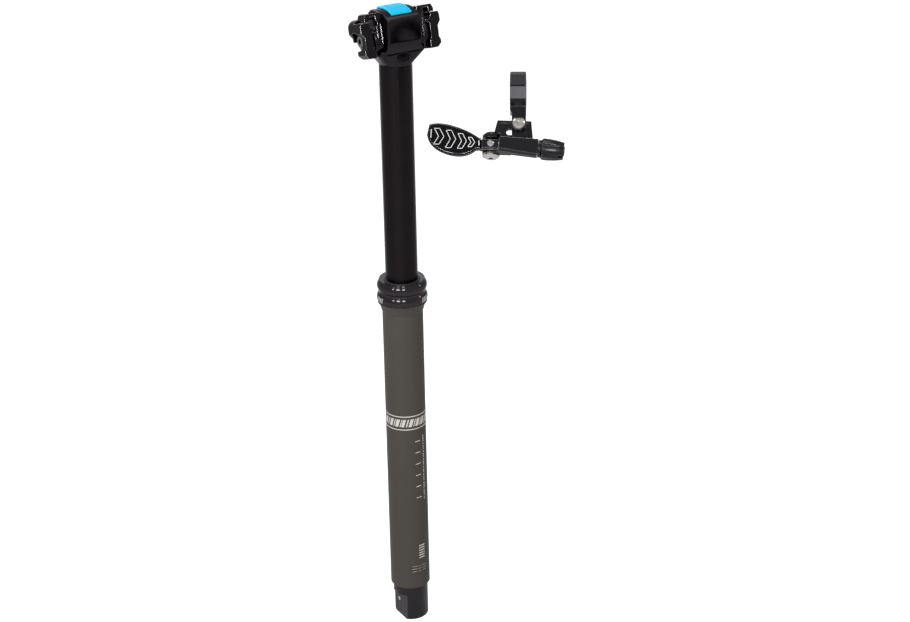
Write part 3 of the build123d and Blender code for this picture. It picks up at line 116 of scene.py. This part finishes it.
def finish(
    name,
    tones,
    roughness,
    grain_mm,
    depth_um,
    stretch=(1, 1, 1),
    edge_mm=0.0,
    edge_highlight_tone=None,
    **sockets,
):
    """Material of one finish. A broad noise moves the colour between two tones, a fine one
    of the given grain size moves the roughness and raises the surface by the given depth,
    and edges catch the light as if they were rounded by edge_mm. Where the rounding turns
    the surface by more than about fifteen degrees, a pale edge tone is mixed into the colour:
    a painted highlight along the edges."""
    material = bpy.data.materials.new(name)
    material.use_nodes = True
    tree = material.node_tree
    tree.nodes.clear()
    place = add_node(tree, "ShaderNodeTexCoord").outputs["Object"]
    shaped = add_node(
        tree, "ShaderNodeMapping", {"Scale": stretch}, {"Vector": place}
    ).outputs["Vector"]
    broad = add_node(
        tree,
        "ShaderNodeTexNoise",
        {"Scale": 1 / TONE_PATCH, "Detail": 4.0, "Roughness": 0.6},
        {"Vector": place},
    ).outputs["Fac"]
    fine = add_node(
        tree,
        "ShaderNodeTexNoise",
        {"Scale": 1 / (grain_mm * MM), "Detail": 3.0, "Roughness": 0.65},
        {"Vector": shaped},
    ).outputs["Fac"]
    tone = add_node(
        tree,
        "ShaderNodeMix",
        {"data_type": "RGBA", 6: linear(tones[0]), 7: linear(tones[1])},
        {0: broad},
    ).outputs[2]
    gloss = add_node(
        tree,
        "ShaderNodeMapRange",
        {
            "From Min": NOISE_LOW,
            "From Max": NOISE_HIGH,
            "To Min": roughness[0],
            "To Max": roughness[1],
        },
        {"Value": fine},
    ).outputs["Result"]
    raised = {"Height": fine}
    if edge_mm:
        rounded = add_node(
            tree, "ShaderNodeBevel", {"Radius": edge_mm * MM, "samples": EDGE_SAMPLES}
        ).outputs["Normal"]
        raised["Normal"] = rounded
    # Painted highlight: a pale tone mixed into the colour where the bevel turns the normal, standing in for
    # light caught on the edges
    if edge_highlight_tone:
        plain = add_node(tree, "ShaderNodeNewGeometry").outputs["Normal"]
        along = add_node(
            tree, "ShaderNodeVectorMath", {"operation": "DOT_PRODUCT"}, {0: rounded, 1: plain}
        ).outputs["Value"]
        turned = add_node(
            tree,
            "ShaderNodeMapRange",
            {"From Min": EDGE_HIGHLIGHT_BEGINS, "From Max": EDGE_HIGHLIGHT_FULL},
            {"Value": along},
        ).outputs["Result"]
        tone = add_node(
            tree,
            "ShaderNodeMix",
            {"data_type": "RGBA", 7: linear(edge_highlight_tone)},
            {0: turned, 6: tone},
        ).outputs[2]
    bump = add_node(
        tree, "ShaderNodeBump", {"Strength": 1.0, "Distance": depth_um * MICRON}, raised
    ).outputs["Normal"]
    shader = add_node(
        tree,
        "ShaderNodeBsdfPrincipled",
        sockets,
        {"Base Color": tone, "Roughness": gloss, "Normal": bump},
    )
    add_node(tree, "ShaderNodeOutputMaterial", None, {"Surface": shader.outputs["BSDF"]})
    return material


# Black anodising over bright metal: the metal's sheen, held back towards the edges by the dye
BLACK_ANODISED = {"Metallic": 1.0, "Specular Tint": (0.62, 0.62, 0.62, 1.0)}
# Blasted anodising scatters nearly all of its light and keeps very little of a mirror
BLASTED_TUBE = {"Specular IOR Level": 0.05}
BLASTED_PLUG = {"Specular IOR Level": 0.1}
DULL_PLASTIC = {"Specular IOR Level": 0.1}


def collar_finish():
    """The turned collar's gloss black, with its dished top ring left a satin grey: the ring is
    where the distance from the post's axis is below the rim's and the height is near the top."""
    material = finish(
        "collar_polished_black_anodised",
        tones=("#2a272a", "#302d30"),
        roughness=(0.05, 0.1),
        grain_mm=0.35,
        depth_um=0.4,
        stretch=(0.2, 0.2, 5),
        edge_mm=0.25,
        **BLACK_ANODISED,
    )
    tree = material.node_tree
    shader = next(n for n in tree.nodes if n.type == "BSDF_PRINCIPLED")
    place = add_node(tree, "ShaderNodeTexCoord").outputs["Object"]
    axis = add_node(tree, "ShaderNodeSeparateXYZ", None, {"Vector": place})
    flat = add_node(
        tree, "ShaderNodeCombineXYZ", None, {"X": axis.outputs["X"], "Y": axis.outputs["Y"]}
    )
    radius = add_node(
        tree, "ShaderNodeVectorMath", {"operation": "LENGTH"}, {0: flat.outputs["Vector"]}
    ).outputs["Value"]
    inside = add_node(
        tree, "ShaderNodeMath", {"operation": "LESS_THAN", 1: COLLAR_RIM_RADIUS}, {0: radius}
    ).outputs["Value"]
    above = add_node(
        tree,
        "ShaderNodeMath",
        {"operation": "GREATER_THAN", 1: COLLAR_TOP - COLLAR_RING_DEPTH},
        {0: axis.outputs["Z"]},
    ).outputs["Value"]
    ring = add_node(
        tree, "ShaderNodeMath", {"operation": "MULTIPLY"}, {0: inside, 1: above}
    ).outputs["Value"]
    black = shader.inputs["Base Color"].links[0].from_socket
    smooth = shader.inputs["Roughness"].links[0].from_socket
    tone = add_node(
        tree,
        "ShaderNodeMix",
        {"data_type": "RGBA", 7: linear("#625f65")},
        {0: ring, 6: black},
    ).outputs[2]
    gloss = add_node(tree, "ShaderNodeMix", {3: 0.34}, {0: ring, 2: smooth}).outputs[0]
    tree.links.new(tone, shader.inputs["Base Color"])
    tree.links.new(gloss, shader.inputs["Roughness"])
    return material


def stanchion_finish():
    """Hard anodised tube, ground round and round: the grind lines draw reflections out
    along the tube, so the highlights are long soft streaks."""
    material = finish(
        "stanchion_ground_black_anodised",
        tones=("#171416", "#1d1a1c"),
        roughness=(0.2, 0.26),
        grain_mm=0.4,
        depth_um=0.25,
        stretch=(0.15, 0.15, 6),
        Anisotropic=0.85,
        **{"Anisotropic Rotation": 0.25},
        **BLACK_ANODISED,
    )
    tree = material.node_tree
    shader = next(n for n in tree.nodes if n.type == "BSDF_PRINCIPLED")
    turned = add_node(tree, "ShaderNodeTangent", {"direction_type": "RADIAL", "axis": "Z"})
    tree.links.new(turned.outputs["Tangent"], shader.inputs["Tangent"])
    return material


materials = {
    # Fine blasting leaves a dull grey-black with a broad sheen and no mirror image
    "tube_satin_anodised": finish(
        "tube_blasted_black_anodised",
        tones=("#464340", "#4c4945"),
        roughness=(0.5, 0.62),
        grain_mm=0.55,
        depth_um=5.0,
        **BLASTED_TUBE,
    ),
    "collar_gloss_anodised": collar_finish(),
    # Nitrile rubber straight from the mould, dark and dull
    "seal_rubber": finish(
        "seal_moulded_nitrile",
        tones=("#1b1b1c", "#232324"),
        roughness=(0.5, 0.65),
        grain_mm=0.5,
        depth_um=8.0,
        IOR=1.52,
    ),
    # Foam soaked with oil: open pores with a wet look
    "oil_foam": finish(
        "foam_oiled",
        tones=("#4a4a4e", "#5c5c60"),
        roughness=(0.4, 0.9),
        grain_mm=0.6,
        depth_um=120.0,
        IOR=1.45,
    ),
    # Filled bearing polymer, turned
    "bearing_polymer": finish(
        "bearing_turned_polymer",
        tones=("#5b554b", "#665f54"),
        roughness=(0.4, 0.5),
        grain_mm=0.4,
        depth_um=3.0,
        stretch=(0.2, 0.2, 4),
        IOR=1.5,
    ),
    "stanchion_gloss_anodised": stanchion_finish(),
    # Milled brass, bright with faint cutter marks
    "key_brass": finish(
        "key_milled_brass",
        tones=("#c9a355", "#d4b064"),
        roughness=(0.22, 0.34),
        grain_mm=0.3,
        depth_um=1.5,
        stretch=(1, 1, 0.1),
        Metallic=1.0,
    ),
    # Drawn aluminium with clear anodising: pale grey with lines along the tube
    "cartridge_aluminium": finish(
        "cartridge_drawn_aluminium",
        tones=("#c0c2c5", "#cbcdd0"),
        roughness=(0.25, 0.36),
        grain_mm=0.3,
        depth_um=1.0,
        stretch=(3, 3, 0.05),
        Metallic=1.0,
    ),
    # Hard chrome on a ground rod, nearly a mirror
    "rod_chromed": finish(
        "rod_hard_chrome",
        tones=("#dadbdf", "#e2e3e6"),
        roughness=(0.05, 0.09),
        grain_mm=0.3,
        depth_um=0.2,
        stretch=(0.2, 0.2, 5),
        Metallic=1.0,
    ),
    # Ground spring and pin steel, plain grey
    "pin_steel": finish(
        "pin_ground_steel",
        tones=("#a9a9ab", "#b7b7b9"),
        roughness=(0.2, 0.32),
        grain_mm=0.3,
        depth_um=0.8,
        Metallic=1.0,
    ),
    # Milled, blasted and anodised: darker and a little cooler than the tube
    "plug_satin_anodised": finish(
        "plug_blasted_black_anodised",
        tones=("#1f1d21", "#252327"),
        roughness=(0.4, 0.52),
        grain_mm=0.5,
        depth_um=4.0,
        edge_mm=0.35,
        **BLASTED_PLUG,
    ),
    # Zinc plated screw heads, turned bright
    "screw_plated": finish(
        "screw_bright_zinc",
        tones=("#94918c", "#9f9c97"),
        roughness=(0.16, 0.28),
        grain_mm=0.25,
        depth_um=1.2,
        edge_mm=0.15,
        Metallic=1.0,
    ),
    # Stamped steel, tumbled to a dull grey
    "cam_steel": finish(
        "cam_tumbled_steel",
        tones=("#8d8d90", "#99999c"),
        roughness=(0.3, 0.45),
        grain_mm=0.6,
        depth_um=3.0,
        edge_mm=0.2,
        Metallic=1.0,
    ),
    # Forged, polished and anodised: gloss black with the faint waves of the forging
    "head_forged_satin": finish(
        "head_forged_black_anodised",
        tones=("#1e1c1f", "#262427"),
        roughness=(0.09, 0.15),
        grain_mm=2.6,
        depth_um=9.0,
        edge_mm=0.9,
        **BLACK_ANODISED,
    ),
    # Moulded plastic, bright blue with a soft sheen
    "pad_blue": finish(
        "pad_moulded_blue",
        tones=("#0eb8e4", "#14bfeb"),
        roughness=(0.3, 0.4),
        grain_mm=0.5,
        depth_um=4.0,
        edge_mm=0.3,
        **DULL_PLASTIC,
    ),
    # Forged clamp with machined faces, gloss black, with a painted highlight along its edges
    "clamp_gloss_anodised": finish(
        "clamp_machined_black_anodised",
        tones=("#1b191b", "#211f21"),
        roughness=(0.1, 0.17),
        grain_mm=1.2,
        depth_um=2.5,
        edge_mm=0.55,
        edge_highlight_tone="#8d898c",
        **BLACK_ANODISED,
    ),
    # Black zinc washers, dark grey
    "washer_black": finish(
        "washer_black_zinc",
        tones=("#3a383b", "#454346"),
        roughness=(0.25, 0.38),
        grain_mm=0.4,
        depth_um=1.5,
        edge_mm=0.15,
        Metallic=1.0,
    ),
    # Black zinc bolt, a little brighter on its turned head
    "bolt_black_steel": finish(
        "bolt_black_zinc",
        tones=("#4a484a", "#575557"),
        roughness=(0.2, 0.32),
        grain_mm=0.35,
        depth_um=1.5,
        edge_mm=0.2,
        Metallic=1.0,
    ),
    # Machined band with satin flats, and a painted highlight along its edges
    "band_anodised": finish(
        "band_machined_black_anodised",
        tones=("#202022", "#272729"),
        roughness=(0.2, 0.28),
        grain_mm=0.4,
        depth_um=1.8,
        edge_mm=0.3,
        edge_highlight_tone="#6d6d70",
        **BLACK_ANODISED,
    ),
    # Forged bracket, gloss black, with a painted highlight along its edges
    "bracket_gloss_anodised": finish(
        "bracket_forged_black_anodised",
        tones=("#222224", "#2a2a2c"),
        roughness=(0.14, 0.22),
        grain_mm=0.8,
        depth_um=2.5,
        edge_mm=0.45,
        edge_highlight_tone="#8d8d8f",
        **BLACK_ANODISED,
    ),
    # Thumb lever, gloss black with a rounded rim that catches the light, and a painted highlight along that
    # rim
    "lever_gloss": finish(
        "lever_polished_black_anodised",
        tones=("#151517", "#1b1b1d"),
        roughness=(0.09, 0.14),
        grain_mm=0.8,
        depth_um=1.5,
        edge_mm=0.6,
        edge_highlight_tone="#9a9a9c",
        **BLACK_ANODISED,
    ),
    # Turned and milled knob, black, with a painted highlight along the edges of its flutes
    "knob_anodised": finish(
        "knob_milled_black_anodised",
        tones=("#222224", "#2b2b2d"),
        roughness=(0.15, 0.24),
        grain_mm=0.4,
        depth_um=1.5,
        edge_mm=0.3,
        edge_highlight_tone="#77777a",
        **BLACK_ANODISED,
    ),
}

for part in record["subparts"]:
    mesh = frame["nodes"][part["node"]].data
    mesh.materials.clear()
    mesh.materials.append(materials[part["material_slot"]])

# Screen printing ink: pale grey, flat and a little rough
tube_ink = finish(
    "print_pale_grey_ink",
    tones=("#c2beb9", "#cdc9c4"),
    roughness=(0.45, 0.55),
    grain_mm=0.3,
    depth_um=1.0,
    IOR=1.5,
)
# Laser marking in black anodising: pale grey metal shows through
laser_mark = finish(
    "laser_marked_grey",
    tones=("#b9b8b8", "#c6c5c5"),
    roughness=(0.4, 0.5),
    grain_mm=0.2,
    depth_um=1.0,
    Metallic=0.3,
)


def slab_faces(rows, columns, closed):
    """Faces of a thin slab whose outer and inner grids have rows x columns points: the outer
    sheet, the inner sheet turned over, and the sides between them. A closed slab runs round."""
    sheet = rows * columns
    spans = columns if closed else columns - 1
    r, c = np.meshgrid(np.arange(rows - 1), np.arange(spans), indexing="ij")
    here = (r * columns + c).ravel()
    beside = (r * columns + (c + 1) % columns).ravel()
    outer = np.stack([here, beside, beside + columns, here + columns], 1)
    inner = (outer + sheet)[:, ::-1]
    c = np.arange(spans)
    beside = (c + 1) % columns
    last = (rows - 1) * columns
    low = np.stack([beside, c, c + sheet, beside + sheet], 1)
    high = np.stack([c + last, beside + last, beside + last + sheet, c + last + sheet], 1)
    sheets = [outer, inner, low, high]
    if not closed:
        left = np.arange(rows - 1) * columns
        right = left + columns - 1
        sheets.append(np.stack([left, left + columns, left + columns + sheet, left + sheet], 1))
        sheets.append(
            np.stack([right + columns, right, right + sheet, right + columns + sheet], 1)
        )
    return np.concatenate(sheets)


def mesh_piece(name, parts, material, body):
    """One object from several (points, faces) pairs, riding on a CAD body."""
    points, faces, count = [], [], 0
    for part_points, part_faces in parts:
        points.append(part_points)
        faces.append(part_faces + count)
        count += len(part_points)
    mesh = bpy.data.meshes.new(name)
    mesh.from_pydata(np.concatenate(points).tolist(), [], np.concatenate(faces).tolist())
    mesh.validate()
    mesh.materials.append(material)
    piece = bpy.data.objects.new(name, mesh)
    bpy.context.scene.collection.objects.link(piece)
    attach(piece, body)


# A mark's face stands this far proud of the surface, and its back lies this far below it
INK = 0.03 * MM
MARK_DEPTH = 0.06 * MM


def arc_radius(three, z):
    """Radius at the height z of a band turned to the arc through three (radius, height) points:
    with the arc's centre (h, k) and radius R, the band's radius is h + sqrt(R^2 - (z - k)^2)."""
    (r0, z0), (r1, z1), (r2, z2) = three
    lines = np.array([[r1 - r0, z1 - z0], [r2 - r0, z2 - z0]]) * 2
    squares = np.array([r1**2 + z1**2 - r0**2 - z0**2, r2**2 + z2**2 - r0**2 - z0**2])
    h, k = np.linalg.solve(lines, squares)
    return h + np.sqrt((r0 - h) ** 2 + (z0 - k) ** 2 - (z - k) ** 2)


def round_mark(radius, angles, heights, slant=0.0, steps=12, rows=3, closed=False):
    """Mark on a turned surface: angle runs between two angles and height between two heights,
    and slant shifts the angle with the height. A point is (r cos a, r sin a, z) with
    a = a0 + (a1 - a0) s + slant t and z = z0 + (z1 - z0) t, at the ink's face and below it.
    The radius r is a number or, for a curved side, a function of z."""
    s = np.linspace(0, 1, steps, endpoint=not closed)
    t = np.linspace(0, 1, rows)
    t_grid, s_grid = np.meshgrid(t, s, indexing="ij")
    a = np.radians(angles[0] + (angles[1] - angles[0]) * s_grid + slant * t_grid)
    z = heights[0] + (heights[1] - heights[0]) * t_grid
    side = radius(z) if callable(radius) else radius
    sheets = [
        np.stack([r * np.cos(a), r * np.sin(a), z], -1).reshape(-1, 3)
        for r in (side + INK, side - MARK_DEPTH)
    ]
    return np.concatenate(sheets), slab_faces(rows, steps, closed)


def flat_stroke(start, end, width):
    """Straight mark on the blade's face between two points (x, z) of the lever's frame in
    millimetres, with square ends: p = start + (end - start) s + side (t - 1/2) width."""
    start, end = np.array(start) * MM, np.array(end) * MM
    along = (end - start) / np.linalg.norm(end - start)
    side = np.array([-along[1], along[0]]) * width * MM
    corners = np.array([start - side / 2, end - side / 2, start + side / 2, end + side / 2])
    sheets = [
        lever_origin + corners[:, :1] * bar_x + y * bar_y + corners[:, 1:] * bar_z
        for y in (BLADE_FACE_Y - INK, BLADE_FACE_Y + MARK_DEPTH)
    ]
    return np.concatenate(sheets), slab_faces(2, 2, False)


# Angles round the tube are measured from +X, in degrees. The camera faces the tube at this one.
FRONT_ANGLE = -120.0

# Two thin lines run right round the tube
LINE_HEIGHTS = (-96.6 * MM, -85.4 * MM)
HALF_LINE = 0.4 * MM
ROUND_STEPS = 96
ring_lines = [
    round_mark(
        TUBE_RADIUS, (0, 360), (z - HALF_LINE, z + HALF_LINE), steps=ROUND_STEPS, closed=True
    )
    for z in LINE_HEIGHTS
]
mesh_piece("tube_ring_lines", ring_lines, tube_ink, "outer")

# Slanted bars of different widths between the lines, repeated round the tube
BAR_HEIGHTS = (-94.2 * MM, -87.8 * MM)
BAR_ANGLES = (0, 8, 22, 28, 42, 47)
BAR_WIDTHS = (4, 10, 3, 10, 3, 8)
BAR_SLANT = 7.0
BAR_REPEAT = 60
bars = []
for turn in range(0, 360, BAR_REPEAT):
    for angle, width in zip(BAR_ANGLES, BAR_WIDTHS):
        start = FRONT_ANGLE + turn + angle
        bars.append(round_mark(TUBE_RADIUS, (start, start + width), BAR_HEIGHTS, slant=BAR_SLANT))
mesh_piece("tube_slanted_bars", bars, tube_ink, "outer")

# Scale for the depth in the frame: six strokes with a centimetre between them
SCALE_ANGLE = FRONT_ANGLE + 27
SCALE_STROKE = 17
SCALE_HEIGHTS = (-108.0 - 10.0 * np.arange(6)) * MM
HALF_SCALE_LINE = 0.3 * MM
scale_marks = [
    round_mark(
        TUBE_RADIUS,
        (SCALE_ANGLE, SCALE_ANGLE + SCALE_STROKE),
        (z - HALF_SCALE_LINE, z + HALF_SCALE_LINE),
    )
    for z in SCALE_HEIGHTS
]
# A fine broken line beside it, whose dashes vary a little in length
DASH_ANGLES = (SCALE_ANGLE + 28, SCALE_ANGLE + 31)
DASH_COUNT = 25
dash_tops = (-104.5 - 2.3 * np.arange(DASH_COUNT)) * MM
dash_lengths = (1.5 + 0.5 * np.sin(2.1 * np.arange(DASH_COUNT))) * MM
scale_marks += [
    round_mark(TUBE_RADIUS, DASH_ANGLES, (top - length, top), steps=4)
    for top, length in zip(dash_tops, dash_lengths)
]
mesh_piece("tube_depth_scale", scale_marks, tube_ink, "outer")

# A hatched block near the tube's foot
FOOT_ANGLE = FRONT_ANGLE + 30
HATCH_ANGLES = (FOOT_ANGLE, FOOT_ANGLE + 20)
HATCH_TOPS = (-201.0 - 2.2 * np.arange(6)) * MM
foot_marks = [
    round_mark(TUBE_RADIUS, HATCH_ANGLES, (top - 1.3 * MM, top - 0.4 * MM), slant=1.0)
    for top in HATCH_TOPS
]
# Three fine lines under it, each broken into three strokes, as (start, length) in degrees
FINE_LINE_TOPS = np.array([-220.0, -222.4, -224.8]) * MM
FINE_LINE_WIDTH = 0.2 * MM
FINE_STROKES = ((-22, 15), (-4, 9), (8, 17))
foot_marks += [
    round_mark(
        TUBE_RADIUS,
        (FOOT_ANGLE + start, FOOT_ANGLE + start + length),
        (top - FINE_LINE_WIDTH, top),
        steps=6,
    )
    for top in FINE_LINE_TOPS
    for start, length in FINE_STROKES
]
mesh_piece("tube_foot_marks", foot_marks, tube_ink, "outer")

# Laser strokes on the collar's lower band, at its two sides
SIDE_TURNS = (-72, 52)
SIDE_STEPS = (0, 6, 12, 18)
SIDE_STROKE = 2.4
SIDE_HEIGHTS = (10.2 * MM, 14.0 * MM)


def lower_band_radius(z):
    """Radius of the collar's lower band at the height z, on the arc through its three points."""
    return arc_radius(LOWER_BAND, z)


collar_marks = []
for side_turn in SIDE_TURNS:
    for step in SIDE_STEPS:
        start = FRONT_ANGLE + side_turn + step
        collar_marks.append(
            round_mark(
                lower_band_radius,
                (start, start + SIDE_STROKE),
                SIDE_HEIGHTS,
                slant=3.0,
                steps=4,
                rows=9,
            )
        )
mesh_piece("collar_side_marks", collar_marks, laser_mark, "outer")

# Outlined chevrons on the blade, smaller towards its neck, in millimetres of the lever's frame:
# left end, top, bottom and width
CHEVRONS = (
    (-56.4, -31.6, -43.4, 3.8),
    (-48.0, -32.8, -45.8, 3.8),
    (-39.6, -35.0, -46.0, 3.4),
    (-32.2, -37.6, -44.6, 2.6),
)
# How far a chevron's point stands out, as a share of its width
POINT_SHARE = 0.85
CHEVRON_LINE = 0.5
strokes = []
for left, top, bottom, width in CHEVRONS:
    middle = (top + bottom) / 2
    point = width * POINT_SHARE
    corners = [
        (left, top),
        (left + width, top),
        (left + width + point, middle),
        (left + width, bottom),
        (left, bottom),
        (left + point, middle),
    ]
    strokes += [
        flat_stroke(start, end, CHEVRON_LINE)
        for start, end in zip(corners, corners[1:] + corners[:1])
    ]
# A short line at the blade's tip and one at its neck, as (start, end, width)
SHORT_LINES = (
    ((-58.6, -32.4), (-58.6, -38.8), 0.6),
    ((-24.6, -39.8), (-24.2, -43.4), 0.7),
)
strokes += [flat_stroke(start, end, width) for start, end, width in SHORT_LINES]
mesh_piece("blade_grip_marks", strokes, laser_mark, "lever")

# Studio: pale floor, pale world and soft boxes
low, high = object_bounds()
scene = bpy.context.scene


def backdrop_rays(tree):
    """One where the ray shows the background: for the camera, in a reflection or through glass."""
    rays = add_node(tree, "ShaderNodeLightPath").outputs
    seen = add_node(
        tree,
        "ShaderNodeMath",
        {"operation": "MAXIMUM"},
        {0: rays["Is Camera Ray"], 1: rays["Is Glossy Ray"]},
    ).outputs["Value"]
    return add_node(
        tree,
        "ShaderNodeMath",
        {"operation": "MAXIMUM"},
        {0: seen, 1: rays["Is Transmission Ray"]},
    ).outputs["Value"]


# The world fills the shadows at this level, and shows itself as white
WORLD_LEVEL = 0.12
world = bpy.data.worlds.new("white_studio")
scene.world = world
world.use_nodes = True
tree = world.node_tree
tree.nodes.clear()
strength = add_node(
    tree,
    "ShaderNodeMapRange",
    {"To Min": WORLD_LEVEL, "To Max": 1.0},
    {"Value": backdrop_rays(tree)},
).outputs["Result"]
background = add_node(
    tree, "ShaderNodeBackground", {"Color": (1, 1, 1, 1)}, {"Strength": strength}
)
add_node(tree, "ShaderNodeOutputWorld", None, {"Surface": background.outputs["Background"]})

FLOOR_SIZE = 14.0
FLOOR_GAP = 0.2 * MM
# The paper's own level where the camera or a reflection sees it, so that it shows as white
FLOOR_GLOW = 0.95
half = FLOOR_SIZE / 2
floor_z = low.z - FLOOR_GAP
floor_mesh = bpy.data.meshes.new("floor")
floor_mesh.from_pydata(
    [(x, y, floor_z) for x, y in ((-half, -half), (half, -half), (half, half), (-half, half))],
    [],
    [(0, 1, 2, 3)],
)
floor = bpy.data.objects.new("floor", floor_mesh)
scene.collection.objects.link(floor)
paper = bpy.data.materials.new("floor_white_paper")
paper.use_nodes = True
tree = paper.node_tree
tree.nodes.clear()
glow = add_node(
    tree,
    "ShaderNodeMath",
    {"operation": "MULTIPLY", 1: FLOOR_GLOW},
    {0: backdrop_rays(tree)},
).outputs["Value"]
shader = add_node(
    tree,
    "ShaderNodeBsdfPrincipled",
    {"Base Color": linear("#b0b0b0"), "Roughness": 0.9, "Emission Color": (1, 1, 1, 1)},
    {"Emission Strength": glow},
)
add_node(tree, "ShaderNodeOutputMaterial", None, {"Surface": shader.outputs["BSDF"]})
floor_mesh.materials.append(paper)

# Soft boxes: name, turn round the object, height above the horizon, distance, width, height
# and radiance. The three side by side are the panes of one large light.
SOFT_BOXES = (
    ("pane_left", -72.0, 28.0, 1.2, 0.14, 0.4, 16.0),
    ("pane_middle", -48.0, 28.0, 1.2, 0.28, 0.4, 22.0),
    ("pane_right", -22.0, 28.0, 1.2, 0.22, 0.4, 20.0),
    ("strip_right", 66.0, 34.0, 1.4, 0.04, 0.9, 26.0),
    ("top", 150.0, 75.0, 1.3, 0.6, 0.6, 3.5),
    ("back", -165.0, 32.0, 1.5, 0.6, 0.5, 9.0),
)
centre = Vector((0, 0, (low.z + high.z) / 2))
for name, turn, rise, distance, width, height, radiance in SOFT_BOXES:
    a, e = math.radians(turn), math.radians(rise)
    away = Vector((math.sin(a) * math.cos(e), -math.cos(a) * math.cos(e), math.sin(e)))
    light = bpy.data.lights.new(name, "AREA")
    light.shape = "RECTANGLE"
    light.size, light.size_y = width, height
    light.energy = radiance * math.pi * width * height
    lamp = bpy.data.objects.new(name, light)
    scene.collection.objects.link(lamp)
    lamp.location = centre + away * distance
    lamp.rotation_euler = away.to_track_quat("Z", "Y").to_euler()
    lamp.visible_camera = False

# Camera, from the ellipses that the tube and the collar draw in the photograph
CAMERA_TURN = math.radians(-30.0)
CAMERA_RISE = math.radians(23.439)
CAMERA_ROLL = math.radians(-1.075)
CAMERA_DISTANCE = 1738.72 * MM
CAMERA_RIGHT = 37.915 * MM
CAMERA_UP = 134.276 * MM
CAMERA_LOWER = 148.0 * MM
FOCAL_PIXELS = 2171.95
IMAGE_WIDTH = 910
SENSOR_WIDTH = 36.0
back = Vector((0, -math.cos(CAMERA_RISE), math.sin(CAMERA_RISE)))
up = Vector((0, math.sin(CAMERA_RISE), math.cos(CAMERA_RISE)))
right = Vector((1, 0, 0))
camera_right = right * math.cos(CAMERA_ROLL) + up * math.sin(CAMERA_ROLL)
camera_up = up * math.cos(CAMERA_ROLL) - right * math.sin(CAMERA_ROLL)
eye = back * CAMERA_DISTANCE + camera_right * CAMERA_RIGHT + camera_up * CAMERA_UP
eye.z -= CAMERA_LOWER
facing = Matrix((camera_right, camera_up, back)).transposed().to_4x4()
camera_data = bpy.data.cameras.new("camera")
camera_data.sensor_width = SENSOR_WIDTH
camera_data.lens = FOCAL_PIXELS * SENSOR_WIDTH / IMAGE_WIDTH
camera_data.clip_start = 50 * MM
camera = bpy.data.objects.new("camera", camera_data)
scene.collection.objects.link(camera)
camera.matrix_world = Matrix.Rotation(CAMERA_TURN, 4, "Z") @ Matrix.Translation(eye) @ facing
scene.camera = camera
scene.view_settings.view_transform = "Standard"
